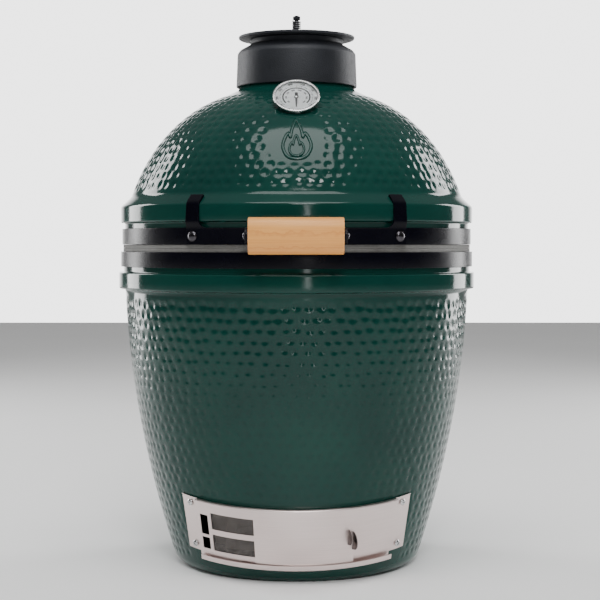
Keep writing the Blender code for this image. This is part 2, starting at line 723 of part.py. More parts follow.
def make_dome():
    shell = turned("dome_shell", dome_profile(), GLAZE, closed=True)
    inside = -GAUGE_STANDOFF - 2 * WALL
    bore = cylinder("stem_bore", STEM_RADIUS + STEM_PLAY, inside, 0, sides=12, parent=GAUGE_AXIS)
    cut(shell, bore)
    gasket_low = UPPER_SEAT_Z - CLEARANCE - GASKET_THICKNESS
    gasket = turned("upper_gasket", gasket_profile(gasket_low), FELT, closed=True)
    for piece in (shell, gasket):
        keep_place(piece, DOME_PIVOT)


# Steel bands, hinge and springs.
def band_bolt(name, azimuth, level, seat, shank, head):
    """A radial bolt whose head rests on a seat radius, and the cutter for its hole."""
    head_radius, doming = head
    turn = math.radians(azimuth)
    place = {
        "location": (seat * math.sin(turn), -seat * math.cos(turn), level),
        "rotation": radial(azimuth),
    }
    reach = seat - shank
    profile = screw_profile(BAND_BOLT_RADIUS, reach, head_radius, head_radius * 0.6, doming)
    bolt = turned(name, profile, ZINC, steps=12, **place)
    ends = (-reach - BAND_THICKNESS, 2 * BAND_THICKNESS)
    hole = cylinder(f"{name}_hole", BAND_BOLT_RADIUS + CLEARANCE, *ends, sides=12, **place)
    return bolt, hole


def hinge_ear(name, outer_x, side, low, high, foot_y):
    """One ear, from its plate to the boss around the pin."""
    axis = (PIN_Y, PARTING_Z)
    start, end = (-60, 130) if low < PARTING_Z else (-130, 60)
    outline = [(foot_y, low), *arc_points(axis, BOSS_RADIUS, start, end, 8), (foot_y, high)]
    bore = list(reversed(circle(PIN_RADIUS + PIN_PLAY, SMALL_STEPS, axis)))
    middle = side * (outer_x - EAR_THICKNESS / 2)
    return helper(plate(name, [outline, bore], EAR_THICKNESS, BLACK, axes="YZ", at=middle))


def make_hinge_half(name, band, band_outer, low, high, outer_x, bolt_names):
    """A plate behind a band with two ears, fixed by two bolts."""
    back = band_outer + CLEARANCE
    reach = math.degrees(math.asin((LOWER_EAR_X + HINGE_PLATE_MARGIN) / back))
    arc = (180 - reach, 180 + reach)
    bracket = turned(name, [(back, high), (back, low)], BLACK, arc=arc, steps=6, thickness=HINGE_PLATE)
    foot_y = math.sqrt((back + HINGE_PLATE * 0.35) ** 2 - outer_x**2)
    for side in (-1, 1):
        combine(bracket, hinge_ear(f"{name}_ear_{side}", outer_x, side, low, high, foot_y), "UNION")
    level = (low + high) / 2
    bolts = []
    seat = back + HINGE_PLATE + PAINT_GAP
    turn = math.degrees(math.asin(BRACKET_BOLT_X / seat))
    for bolt_name, azimuth in zip(bolt_names, (180 + turn, 180 - turn)):
        bolt, hole = band_bolt(bolt_name, azimuth, level, seat, band_outer - BAND_THICKNESS, HINGE_BOLT_HEAD)
        cut(bracket, hole)
        cut(band, hole)
        bolts.append(bolt)
    return [bracket, *bolts]


def torsion_spring(name, side):
    """Coils around the hinge tube, with a leg to the upper plate and a leg to the lower one."""
    per_turn = 8
    turns = COIL_TURNS + 1 / 6
    count = int(turns * per_turn)
    start, end = COIL_SPAN
    coil = []
    for index in range(count + 1):
        share = index / count
        angle = math.radians(-120 + 360 * turns * share)
        x = side * (start + (end - start) * share)
        y = PIN_Y + COIL_RADIUS * math.cos(angle)
        coil.append(Vector((x, y, PARTING_Z + COIL_RADIUS * math.sin(angle))))
    forward, aside = LEG_REACH
    upper_leg = coil[0] + Vector((0, -forward, aside))
    lower_leg = coil[-1] + Vector((0, -forward, -aside))
    return wire(name, [upper_leg, *coil, lower_leg], COIL_WIRE, SPRING)


def make_bands_and_hinge():
    low = rectangle_ring(RIM_RADIUS + CLEARANCE, LOWER_BAND_OUTER, SEAT_Z - LOWER_BAND_HEIGHT, SEAT_Z)
    lower_band = turned("lower_band", low, BLACK, closed=True)
    high = rectangle_ring(UPPER_RIM + CLEARANCE, UPPER_BAND_OUTER, UPPER_SEAT_Z, UPPER_BAND_TOP)
    upper_band = turned("upper_band", high, BLACK, closed=True)
    keep_place(upper_band, DOME_PIVOT)
    make_hinge_half(
        "lower_hinge_bracket",
        lower_band,
        LOWER_BAND_OUTER,
        SEAT_Z - LOWER_BAND_HEIGHT + CLEARANCE,
        SEAT_Z - CLEARANCE,
        LOWER_EAR_X,
        ("lower_bracket_bolt_left", "lower_bracket_bolt_right"),
    )
    upper = make_hinge_half(
        "upper_hinge_bracket",
        upper_band,
        UPPER_BAND_OUTER,
        UPPER_SEAT_Z + CLEARANCE,
        UPPER_BAND_TOP - CLEARANCE,
        UPPER_EAR_X,
        ("upper_bracket_bolt_left", "upper_bracket_bolt_right"),
    )
    for piece in upper:
        keep_place(piece, DOME_PIVOT)
    along = {"location": (0, PIN_Y, PARTING_Z), "rotation": (0, math.radians(90), 0)}
    seat = LOWER_EAR_X + CLEARANCE
    head, height = PIN_HEAD
    pin = [(0, seat + height), (head * 0.93, seat + height * 0.85), (head, seat + height * 0.2), (head, seat)]
    pin += [(PIN_RADIUS, seat), (PIN_RADIUS, -seat - PIN_TAIL), (0, -seat - PIN_TAIL)]
    turned("hinge_bolt", pin, ZINC, steps=SMALL_STEPS, **along)
    nut_radius, nut_height = PIN_NUT
    nut = nut_profile(PIN_RADIUS + CLEARANCE, nut_radius, -seat - nut_height, -seat)
    turned("hinge_nut", nut, ZINC, closed=True, steps=6, **along)
    half = UPPER_EAR_X - EAR_THICKNESS - CLEARANCE
    spacer = rectangle_ring(PIN_RADIUS + PIN_PLAY, SPACER_RADIUS, -half, half)
    turned("hinge_spacer", spacer, ZINC, closed=True, steps=SMALL_STEPS, **along)
    torsion_spring("hinge_spring_right", 1)
    torsion_spring("hinge_spring_left", -1)
    return upper_band


# Handle.
def hook_profile():
    """Back of a bracket from its tip on the dome's shoulder down to the foot of the band."""
    gap = PAINT_GAP
    ring = UPPER_RING_RADIUS
    lean = math.atan2(SHOULDER_RISE, SHOULDER_INSET)
    out, up = gap * math.sin(lean), gap * math.cos(lean)
    return [
        (ring - RING_CHAMFER - SHOULDER_INSET + out, SHOULDER_Z + up),
        (ring - RING_CHAMFER + out, UPPER_RING_TOP + up),
        (ring + gap, UPPER_RING_TOP - RING_CHAMFER + gap),
        (ring + gap, UPPER_RING_BOTTOM - gap),
        (UPPER_BAND_OUTER + gap, UPPER_BAND_TOP),
        (UPPER_BAND_OUTER + gap, UPPER_SEAT_Z + CLEARANCE),
    ]


def make_bracket(side, label, upper_band):
    """A bar along the band with a hook over the dome's ring and an ear at the grip."""
    ear_outer = EAR_INNER_X + EAR_THICKNESS
    inner = math.degrees(math.asin((ear_outer - EAR_THICKNESS / 3) / UPPER_BAND_OUTER))
    outer = HOOK_AZIMUTH + math.degrees(HOOK_WIDTH / 2 / UPPER_RING_RADIUS)
    arc = (inner, outer) if side > 0 else (-outer, -inner)
    name = f"handle_bracket_{label}"
    bracket = turned(name, hook_profile(), BLACK, arc=arc, steps=7, thickness=BRACKET_THICKNESS)
    edge = -HOOK_WIDTH / 2 * side
    far = edge - side * UPPER_BAND_OUTER / 2
    above = SHOULDER_Z + HOOK_WIDTH
    corner = (edge - side * HOOK_FILLET, UPPER_BAND_TOP + HOOK_FILLET)
    start, end = (-90, 0) if side > 0 else (-90, -180)
    outline = [(far, UPPER_BAND_TOP), *arc_points(corner, HOOK_FILLET, start, end, 5)]
    outline += [(edge, above), (far, above)]
    turn = Matrix.Rotation(math.radians(HOOK_AZIMUTH * side), 4, "Z")
    depth = UPPER_BAND_OUTER / 4
    cut(bracket, plate(f"{name}_notch", [outline], depth, axes="XZ", at=-UPPER_BAND_OUTER, frame=turn))
    foot = -math.sqrt(UPPER_BAND_OUTER**2 - EAR_INNER_X**2) - BRACKET_THICKNESS / 3
    low, high = UPPER_SEAT_Z + CLEARANCE, UPPER_BAND_TOP - CLEARANCE
    nose = arc_points((GRIP_Y, (low + high) / 2), (high - low) / 2, 90, 270, 7)
    middle = side * (EAR_INNER_X + EAR_THICKNESS / 2)
    bore = list(reversed(circle(SCREW_RADIUS + CLEARANCE, 10, (GRIP_Y, (low + high) / 2))))
    outline = [(foot, low), (foot, high), *nose]
    ear = plate(f"{name}_ear", [outline, bore], EAR_THICKNESS, axes="YZ", at=middle)
    combine(bracket, ear, "UNION")
    seat = UPPER_BAND_OUTER + BRACKET_THICKNESS + 2 * PAINT_GAP
    shank = UPPER_BAND_OUTER - BAND_THICKNESS
    azimuth = HOOK_AZIMUTH * side
    bolt, hole = band_bolt(f"handle_bolt_{label}", azimuth, GRIP_Z, seat, shank, HANDLE_BOLT_HEAD)
    cut(bracket, hole)
    cut(upper_band, hole)
    screw = turned(
        f"handle_screw_{label}",
        screw_profile(SCREW_RADIUS, GRIP_SCREW_LENGTH, *SMALL_SCREW_HEAD),
        ZINC,
        steps=12,
        location=(side * (ear_outer + CLEARANCE), GRIP_Y, GRIP_Z),
        rotation=(0, math.radians(90) * side, 0),
    )
    for piece in (bracket, bolt, screw):
        keep_place(piece, DOME_PIVOT)


def make_handle(upper_band):
    make_bracket(-1, "left", upper_band)
    make_bracket(1, "right", upper_band)
    half_depth, half_height = GRIP_DEPTH / 2 - GRIP_ROUND, GRIP_HEIGHT / 2 - GRIP_ROUND
    outline = []
    for u, v, start in ((1, 1, 0), (-1, 1, 90), (-1, -1, 180), (1, -1, 270)):
        centre = (GRIP_Y + u * half_depth, GRIP_Z + v * half_height)
        outline += arc_points(centre, GRIP_ROUND, start, start + 90, 4)
    length = 2 * (EAR_INNER_X - CLEARANCE)
    grip = plate("handle_grip", [outline], length, BEECH, axes="YZ")
    for side in (-1, 1):
        end = side * length / 2
        low, high = sorted((end - side * GRIP_SCREW_LENGTH, end + side * EAR_THICKNESS))
        place = {"location": (0, GRIP_Y, GRIP_Z), "rotation": (0, math.radians(90), 0)}
        cut(grip, cylinder(f"grip_bore_{side}", SCREW_RADIUS + CLEARANCE, low, high, sides=12, **place))
    keep_place(grip, DOME_PIVOT)


# Thermometer.
def make_thermometer():
    own = {"parent": GAUGE_AXIS}
    bezel = DIAL_RADIUS + BEZEL_RIM
    inside = DIAL_RADIUS + CLEARANCE
    lip = inside - CASE_WALL / 2
    fold = CASE_WALL / 3
    back = -CASE_DEPTH - CASE_BACK
    case = [
        (0, -CASE_DEPTH),
        (inside, -CASE_DEPTH),
        (inside, -fold),
        (lip, -fold),
        (lip, 0),
        (bezel - fold, 0),
        (bezel, -fold),
        (bezel, -CASE_DEPTH / 2),
        (bezel - fold, -CASE_DEPTH / 2 - fold),
        (bezel - fold, -CASE_DEPTH),
        (bezel * 0.81, back),
        (0, back),
    ]
    turned("thermometer_case", case, ZINC, steps=24, **own)
    cylinder("thermometer_dial", DIAL_RADIUS, DIAL_LEVEL, DIAL_LEVEL + DIAL_THICKNESS, DIAL, sides=24, **own)
    cylinder("thermometer_lens", DIAL_RADIUS, LENS_LEVEL, LENS_LEVEL + LENS_THICKNESS, GLASS, sides=24, **own)
    stem_top = back - CLEARANCE
    cylinder("thermometer_stem", STEM_RADIUS, stem_top - STEM_LENGTH, stem_top, ZINC, sides=12, **own)
    clip_top = -GAUGE_STANDOFF - WALL - CLIP_GAP
    clip = nut_profile(STEM_RADIUS + CLEARANCE, CLIP_RADIUS, clip_top - CLIP_HEIGHT, clip_top)
    turned("thermometer_clip", clip, ZINC, closed=True, steps=6, **own)
    tail, tip, neck = NEEDLE_HUB * 0.43, NEEDLE_HUB * 0.07, NEEDLE_HUB * 0.25
    outline = [
        (-tail, NEEDLE_TAIL),
        *arc_points((0, 0), NEEDLE_HUB, 120, 240, 5),
        (-neck, -NEEDLE_HUB * 1.1),
        (-tip, -NEEDLE_TIP),
        (tip, -NEEDLE_TIP),
        (neck, -NEEDLE_HUB * 1.1),
        *arc_points((0, 0), NEEDLE_HUB, -60, 60, 5),
        (tail, NEEDLE_TAIL),
    ]
    place = {"at": NEEDLE_LEVEL, "parent": GAUGE_AXIS, "frame": GAUGE_AXIS.matrix_world}
    plate("thermometer_needle", [outline], NEEDLE_THICKNESS, NEEDLE, **place)


# Cast-iron top and its damper.
def petal(index):
    """Outline of one vent, closed by an arc at each end."""
    middle = 360 / PETALS * index - 90
    outer = arc_points((0, 0), PETAL_OUTER, middle - PETAL_ARC / 2, middle + PETAL_ARC / 2, 6)
    inner = arc_points((0, 0), PETAL_INNER, middle + PETAL_ARC / 2, middle - PETAL_ARC / 2, 3)
    return outer + inner


def make_top():
    lift = empty("cap_lift", (0, 0, NECK_TOP), parent=DOME_PIVOT)
    knee = COLLAR_BOTTOM + COLLAR_HEIGHT
    inside = COLLAR_RADIUS - COLLAR_WALL
    ledge = NECK_TOP + CLEARANCE
    rest = NECK_RADIUS - COLLAR_WALL / 2
    plate_low = TOP_PLATE_Z - TOP_THICKNESS
    upper = COLLAR_RADIUS - COLLAR_TAPER
    collar = [
        (0, TOP_PLATE_Z),
        (TOP_RADIUS, TOP_PLATE_Z),
        (TOP_RADIUS, knee + (plate_low - knee) * 0.8),
        (upper - COLLAR_WALL, knee + COLLAR_SHOULDER),
        (upper, knee),
        (COLLAR_RADIUS, COLLAR_BOTTOM),
        (inside, COLLAR_BOTTOM),
        (inside, ledge),
        (rest, ledge),
        (rest, knee),
        (TOP_RADIUS - TOP_WALL, knee + (plate_low - knee) * 0.6),
        (TOP_RADIUS - TOP_WALL, plate_low),
        (0, plate_low),
    ]
    body = turned("regulator_collar", collar, IRON)
    outlines = [petal(index) for index in range(PETALS)]
    vents = plate("collar_vents", outlines, 3 * TOP_THICKNESS, at=TOP_PLATE_Z - TOP_THICKNESS / 2)
    ends = (plate_low - TOP_THICKNESS, TOP_PLATE_Z + TOP_THICKNESS)
    hole = cylinder("pivot_hole", PIVOT_RADIUS + CLEARANCE, *ends)
    cut(body, vents, hole)
    low = NECK_TOP - SEAL_HEIGHT - SEAL_DROP
    seal = rectangle_ring(NECK_RADIUS + CLEARANCE, inside - CLEARANCE, low, low + SEAL_HEIGHT)
    seal_ring = turned("chimney_seal", seal, SEAL, closed=True)
    head = plate_low - CLEARANCE
    head_radius, head_height = PIVOT_HEAD
    nut_top = NUT_Z + NUT_HEIGHT
    bolt = [
        (0, nut_top + PIVOT_TIP),
        (PIVOT_RADIUS * 0.6, nut_top + PIVOT_TIP * 0.8),
        (PIVOT_RADIUS, nut_top),
        (PIVOT_RADIUS, head),
        (head_radius, head),
        (head_radius, head - head_height),
        (0, head - head_height),
    ]
    pivot = turned("pivot_bolt", bolt, IRON, steps=SMALL_STEPS)
    per_turn = 8
    count = DAMPER_COIL_TURNS * per_turn
    coil = []
    for index in range(count + 1):
        angle = 2 * math.pi * index / per_turn
        z = COIL_BASE + DAMPER_COIL_LENGTH * index / count
        coil.append((DAMPER_COIL_RADIUS * math.cos(angle), DAMPER_COIL_RADIUS * math.sin(angle), z))
    spring = wire("damper_spring", coil, DAMPER_COIL_WIRE, SPRING)
    nut_ring = nut_profile(PIVOT_RADIUS + CLEARANCE, PIVOT_RADIUS + NUT_WALL, NUT_Z, nut_top)
    nut = turned("damper_nut", nut_ring, IRON, closed=True, steps=6)
    for piece in (body, seal_ring, pivot, spring, nut):
        keep_place(piece, lift)
    return lift


def make_damper(lift):
    axis = empty("damper_axis", (0, 0, DAMPER_Z), parent=lift)
    face = DAMPER_Z + DAMPER_THICKNESS
    bore = PIVOT_RADIUS + CLEARANCE
    edge = DAMPER_THICKNESS / 3
    profile = [
        (HUB_RADIUS, HUB_TOP),
        (HUB_RADIUS * 1.15, face + HUB_HEIGHT * 0.45),
        (HUB_RADIUS * 2, face),
        (DAMPER_RADIUS - edge, face),
        (DAMPER_RADIUS, face - edge),
        (DAMPER_RADIUS, DAMPER_Z + edge),
        (DAMPER_RADIUS - edge, DAMPER_Z),
        (bore, DAMPER_Z),
        (bore, HUB_TOP),
    ]
    disc = turned("damper_disc", profile, IRON, closed=True)
    outlines = [petal(index) for index in range(PETALS)]
    vents = plate("damper_vents", outlines, 3 * DAMPER_THICKNESS, at=DAMPER_Z + DAMPER_THICKNESS / 2)
    cut(disc, vents)
    keep_place(disc, axis)


# Draft door.
def frame_profile():
    """Outside of the frame's folded sheet, from its upper lip down behind the doors to its lower lip."""
    top = DRAFT_HALF_HEIGHT
    front = CHANNEL + 2 * SHEET
    upper = [(top - LIP, front), (top - FOLD, front), (top, front - FOLD), (top, FOLD), (top - FOLD, 0)]
    lower = [(-height, offset) for height, offset in reversed(upper)]
    return [(draft_back(height) + offset, height) for height, offset in upper + lower]


def make_draft_frame():
    arc = (-DRAFT_ARC, DRAFT_ARC)
    frame = turned("draft_frame", frame_profile(), STAINLESS, arc=arc, steps=20, parent=DRAFT_AXIS)
    shell = frame.modifiers.new("thickness", "SOLIDIFY")
    shell.thickness = SHEET
    shell.offset = 1
    shell.use_even_offset = True
    arc = (OPENING_FROM, OPENING_TO)
    cut(frame, rolled("frame_opening", None, -CHANNEL, OPENING_HALF_HEIGHT, arc, 4 * CHANNEL, 6))
    for side in (-1, 1):
        ends = sorted((side * RAIL_ARC, side * (DRAFT_ARC + 3)))
        beyond = DRAFT_HALF_HEIGHT + CHANNEL
        depth = 4 * CHANNEL
        upper = rolled(f"upper_trim_{side}", None, 2 * SHEET, beyond, ends, depth, 3, low=MARGIN_HEAD)
        lower = rolled(f"lower_trim_{side}", None, -CHANNEL, MARGIN_FOOT, ends, depth, 3, low=-beyond)
        cut(frame, upper, lower)
    for place, azimuth, height in draft_screw_places():
        seat = SHEET * 1.6
        at = on_roll(azimuth, height, 0)
        cut(frame, cylinder(f"{place}_hole", SCREW_RADIUS + CLEARANCE, -CHANNEL, CHANNEL, sides=10, **at))
        profile = screw_profile(SCREW_RADIUS, SCREW_LENGTH, *SMALL_SCREW_HEAD)
        turned(f"draft_screw_{place}", profile, ZINC, steps=12, **on_roll(azimuth, height, seat))


def make_screen():
    arc = (SCREEN_FROM, SCREEN_TO)
    frame = rolled("screen_frame", STAINLESS, SCREEN_LAYER, DOOR_HALF_HEIGHT, arc, SCREEN_SHEET, 9)
    half_bar = SCREEN_BAR / 2
    windows = [(-WINDOW_HALF_HEIGHT, -half_bar), (half_bar, WINDOW_HALF_HEIGHT)]
    holes = [(WINDOW_FROM, WINDOW_TO, *span) for span in windows]
    holes += [(*FINGER_SLOT, *span) for span in FINGER_SLOT_HEIGHTS]
    for index, (start, end, low, high) in enumerate(holes):
        name = f"screen_hole_{index}"
        cut(frame, rolled(name, None, -CHANNEL, high, (start, end), 4 * CHANNEL, 6, low=low))
    lap, above = MESH_LAP
    arc = (WINDOW_FROM - lap, WINDOW_TO + lap)
    rolled("screen_mesh", MESH, MESH_LAYER, WINDOW_HALF_HEIGHT + above, arc, MESH_SHEET, 8)


def make_draft_door():
    door = rolled("draft_door", STAINLESS, DOOR_LAYER, DOOR_HALF_HEIGHT, (DOOR_FROM, DOOR_TO), DOOR_SHEET, 9)
    turn = math.radians(DOOR_TO - 0.5)
    foot = draft_back(0) + DOOR_LAYER + DOOR_SHEET / 3
    low, high = TAB_SPAN
    outline = [(foot + DRAFT_CONE * low, low)]
    outline += arc_points((foot + DOOR_SHEET * 2.5, (low + high) / 2), TAB_ROUND, -62, 62, 6)
    outline += [(foot + DRAFT_CONE * high, high)]
    flat = Matrix.Rotation(turn - math.radians(90), 4, "Z") @ Matrix.Rotation(math.radians(90), 4, "X")
    tab = plate("door_tab", [outline], SHEET, frame=DRAFT_AXIS.matrix_world @ flat)
    combine(door, tab, "UNION")


make_base()
make_fire_box()
make_fire_ring()
make_grids()
make_dome()
make_handle(make_bands_and_hinge())
make_thermometer()
make_damper(make_top())
make_draft_frame()
make_screen()
make_draft_door()
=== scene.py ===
import math
import random

import bmesh
import bpy
from mathutils import Matrix, Vector, kdtree, noise
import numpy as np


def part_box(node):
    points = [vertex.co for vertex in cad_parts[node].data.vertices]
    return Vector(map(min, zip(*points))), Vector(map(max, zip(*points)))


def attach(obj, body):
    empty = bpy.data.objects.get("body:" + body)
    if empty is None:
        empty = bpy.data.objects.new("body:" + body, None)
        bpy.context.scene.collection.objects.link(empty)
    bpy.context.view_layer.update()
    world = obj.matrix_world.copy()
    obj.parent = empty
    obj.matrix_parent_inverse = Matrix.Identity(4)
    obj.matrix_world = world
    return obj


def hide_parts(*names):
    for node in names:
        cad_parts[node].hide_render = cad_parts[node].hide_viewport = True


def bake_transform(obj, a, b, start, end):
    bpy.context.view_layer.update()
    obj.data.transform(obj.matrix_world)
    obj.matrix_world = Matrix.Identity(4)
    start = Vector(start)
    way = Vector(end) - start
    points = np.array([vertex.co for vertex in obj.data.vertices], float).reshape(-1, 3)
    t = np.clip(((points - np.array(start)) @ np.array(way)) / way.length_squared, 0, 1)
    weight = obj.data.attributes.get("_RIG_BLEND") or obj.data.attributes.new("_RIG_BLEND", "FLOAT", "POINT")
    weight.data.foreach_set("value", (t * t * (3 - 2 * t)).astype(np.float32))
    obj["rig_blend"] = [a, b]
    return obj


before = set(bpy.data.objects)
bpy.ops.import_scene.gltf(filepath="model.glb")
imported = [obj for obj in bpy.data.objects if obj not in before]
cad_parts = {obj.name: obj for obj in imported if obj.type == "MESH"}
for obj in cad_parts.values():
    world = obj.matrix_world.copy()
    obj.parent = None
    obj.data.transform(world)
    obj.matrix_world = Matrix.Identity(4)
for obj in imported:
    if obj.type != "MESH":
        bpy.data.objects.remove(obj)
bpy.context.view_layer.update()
scene = bpy.context.scene
print("frame loaded")

# the levels and radii that everything hangs on
domeLow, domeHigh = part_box("dome_shell")
lowerBandLow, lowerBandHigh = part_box("lower_band")
upperBandLow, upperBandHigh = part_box("upper_band")
capLow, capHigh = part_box("regulator_collar")
discLow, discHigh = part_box("damper_disc")
gripLow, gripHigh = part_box("handle_grip")
pinLow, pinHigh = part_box("hinge_bolt")
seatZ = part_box("base_shell")[1].z
upperSeatZ = domeLow.z
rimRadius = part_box("lower_gasket")[1].x - 0.0006
upperRim = rimRadius - 0.0019
crownZ = capLow.z + 0.0001
neckTop = domeHigh.z
pinY = (pinLow.y + pinHigh.y) / 2
pinZ = (pinLow.z + pinHigh.z) / 2
gripY = (gripLow.y + gripHigh.y) / 2
gripZ = (gripLow.z + gripHigh.z) / 2
paintGap = 0.0004
slip = 0.0003  # clearance between two pieces that touch
weld = 0.000004
pairSides = (("left", -1), ("right", 1))


# shapes shared by many pieces

def linked(name, data):
    thing = bpy.data.objects.new(name, data)
    scene.collection.objects.link(thing)
    return thing


def meshFrom(bm, name):
    mesh = bpy.data.meshes.new(name)
    bm.to_mesh(mesh)
    bm.free()
    return mesh


def newPiece(name, bm, material, body, nodes=(), slotName=None, smooth=True, angle=35):
    bmesh.ops.remove_doubles(bm, verts=bm.verts, dist=weld)
    bmesh.ops.recalc_face_normals(bm, faces=bm.faces)
    mesh = meshFrom(bm, name)
    for polygon in mesh.polygons:
        polygon.use_smooth = smooth
    if smooth:
        mesh.set_sharp_from_angle(angle=math.radians(angle))
    piece = linked(name, mesh)
    mesh.materials.append(material)
    if body:
        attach(piece, body)
    if nodes:
        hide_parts(*nodes)
    return piece


def turned(angle, axis="Z"):
    return Matrix.Rotation(math.radians(angle), 4, axis)


def moved(x, y, z):
    return Matrix.Translation((x, y, z))


def placed(bm, matrix):
    bmesh.ops.transform(bm, matrix=matrix, verts=bm.verts)
    return bm


def joined(parts):
    whole = bmesh.new()
    for part in parts:
        mesh = meshFrom(part, "part")
        whole.from_mesh(mesh)
        bpy.data.meshes.remove(mesh)
    return whole


def filleted(points, radius, steps=4):
    # rounds every inner corner of an open outline, never past half of its shorter side
    result = [points[0]]
    for before, corner, after in zip(points, points[1:], points[2:]):
        here = Vector(corner)
        towards, away = Vector(before) - here, Vector(after) - here
        reach = min(radius, towards.length * 0.45, away.length * 0.45)
        first, last = here + towards.normalized() * reach, here + away.normalized() * reach
        for index in range(steps + 1):
            share = index / steps
            mixed = first.lerp(here, share).lerp(here.lerp(last, share), share)
            result.append((mixed.x, mixed.y))
    return result + [points[-1]]


def spun(profile, steps, closed=False, arc=None):
    # a (radius, height) outline turned about Z: azimuth 0 looks along -Y and 90 along +X
    bm = bmesh.new()
    start, end = arc or (0, 360)
    corners = [bm.verts.new((0.0, -radius, height)) for radius, height in profile]
    edges = [bm.edges.new(pair) for pair in zip(corners, corners[1:])]
    if closed:
        edges.append(bm.edges.new((corners[-1], corners[0])))
    bmesh.ops.rotate(bm, verts=bm.verts[:], cent=(0, 0, 0), matrix=turned(start).to_3x3())
    bmesh.ops.spin(
        bm, geom=corners + edges, cent=(0, 0, 0), axis=(0, 0, 1), angle=math.radians(end - start),
        steps=steps, use_merge=arc is None,
    )
    bmesh.ops.remove_doubles(bm, verts=bm.verts, dist=weld)
    return bm


def closeEnds(bm):
    bmesh.ops.holes_fill(bm, edges=[edge for edge in bm.edges if edge.is_boundary], sides=0)
    return bm


def span(edge, axis):
    return abs(edge.verts[0].co[axis] - edge.verts[1].co[axis])


def ease(bm, edges, offset, segments=2):
    bmesh.ops.bevel(
        bm, geom=edges, offset=offset, segments=segments, affect="EDGES", profile=0.5, material=-1
    )


def boxPart(low, high):
    bm = bmesh.new()
    low, high = Vector(low), Vector(high)
    whole = Matrix.Translation((high + low) / 2) @ Matrix.Diagonal((*(high - low), 1))
    bmesh.ops.create_cube(bm, size=1, matrix=whole)
    return bm


def rod(radius, depth, sides, matrix=None):
    bm = bmesh.new()
    bmesh.ops.create_cone(
        bm, cap_ends=True, segments=sides, radius1=radius, radius2=radius, depth=depth,
        matrix=matrix or Matrix(),
    )
    return bm


def lift(bm, faces, height):
    lifted = bmesh.ops.extrude_face_region(bm, geom=faces)["geom"]
    raised = [item for item in lifted if isinstance(item, bmesh.types.BMVert)]
    bmesh.ops.translate(bm, verts=raised, vec=(0, 0, height))
    bmesh.ops.recalc_face_normals(bm, faces=bm.faces)


def plateFrom(outline, thickness, matrix, bevel=0.0, segments=2):
    # a flat outline in its own XY plane, thickened both ways and eased along its edges
    bm = bmesh.new()
    face = bm.faces.new([bm.verts.new((u, v, -thickness / 2)) for u, v in outline])
    lift(bm, [face], thickness)
    if bevel:
        ease(bm, [edge for edge in bm.edges if span(edge, 2) < thickness / 2], bevel, segments)
    return placed(bm, matrix)


def arcPoints(centre, radius, start, end, count):
    angles = [math.radians(start + (end - start) * i / (count - 1)) for i in range(count)]
    return [(centre[0] + radius * math.cos(a), centre[1] + radius * math.sin(a)) for a in angles]


def carve(bm, others, operation="DIFFERENCE"):
    # a closed shape less the others, or what it shares with them
    def solid(shape):
        bmesh.ops.recalc_face_normals(shape, faces=shape.faces)
        return linked("solid", meshFrom(shape, "solid"))

    blank = solid(bm)
    tools = [solid(other) for other in others]
    for tool in tools:
        step = blank.modifiers.new("cut", "BOOLEAN")
        step.operation, step.solver, step.object = operation, "EXACT", tool
    bpy.context.view_layer.update()
    result = bmesh.new()
    result.from_object(blank, bpy.context.evaluated_depsgraph_get())
    for leftover in [blank, *tools]:
        bpy.data.objects.remove(leftover, do_unlink=True)
    return result


def skinRings(bm, rings, closed=False):
    # faces from each ring of points to the next, with a lid on both ends unless it closes
    following = rings[1:] + (rings[:1] if closed else [])
    for first, second in zip(rings, following):
        for corner in range(len(first)):
            other = (corner + 1) % len(first)
            bm.faces.new([first[corner], first[other], second[other], second[corner]])
    if not closed:
        for ring in (rings[0], rings[-1]):
            bm.faces.new(ring)


def coil(radius, wire, turns, rise, perTurn, sides):
    # a round wire wound about Z, starting at +X
    bm = bmesh.new()
    ring = bmesh.ops.create_circle(bm, radius=wire, segments=sides)["verts"]
    edges = list({edge for vert in ring for edge in vert.link_edges})
    bmesh.ops.transform(bm, matrix=moved(radius, 0, 0) @ turned(90, "X"), verts=ring)
    steps = int(turns * perTurn)
    bmesh.ops.spin(
        bm, geom=ring + edges, cent=(0, 0, 0), axis=(0, 0, 1), dvec=(0, 0, rise / steps),
        angle=math.radians(360 * turns), steps=steps,
    )
    return closeEnds(bm)


def tube(start, end, radius, sides):
    # a straight bar between two points with eased ends
    start, end = Vector(start), Vector(end)
    bm = rod(radius, (end - start).length, sides)
    ease(bm, [edge for edge in bm.edges if span(edge, 2) < 1e-6], radius * 0.25)
    turn = (end - start).to_track_quat("Z", "Y").to_matrix().to_4x4()
    return placed(bm, Matrix.Translation((start + end) / 2) @ turn)


def radialFrame(azimuth, radius, level):
    # own Z points outwards along the azimuth
    turn = math.radians(azimuth)
    place = moved(radius * math.sin(turn), -radius * math.cos(turn), level)
    return place @ turned(azimuth) @ turned(90, "X")


def uprightAt(x):
    # own XY is the object's YZ plane, x to its side
    return Matrix(((0, 0, 1, x), (1, 0, 0, 0), (0, 1, 0, 0), (0, 0, 0, 1)))


# surface effects, each a group that several finishes use

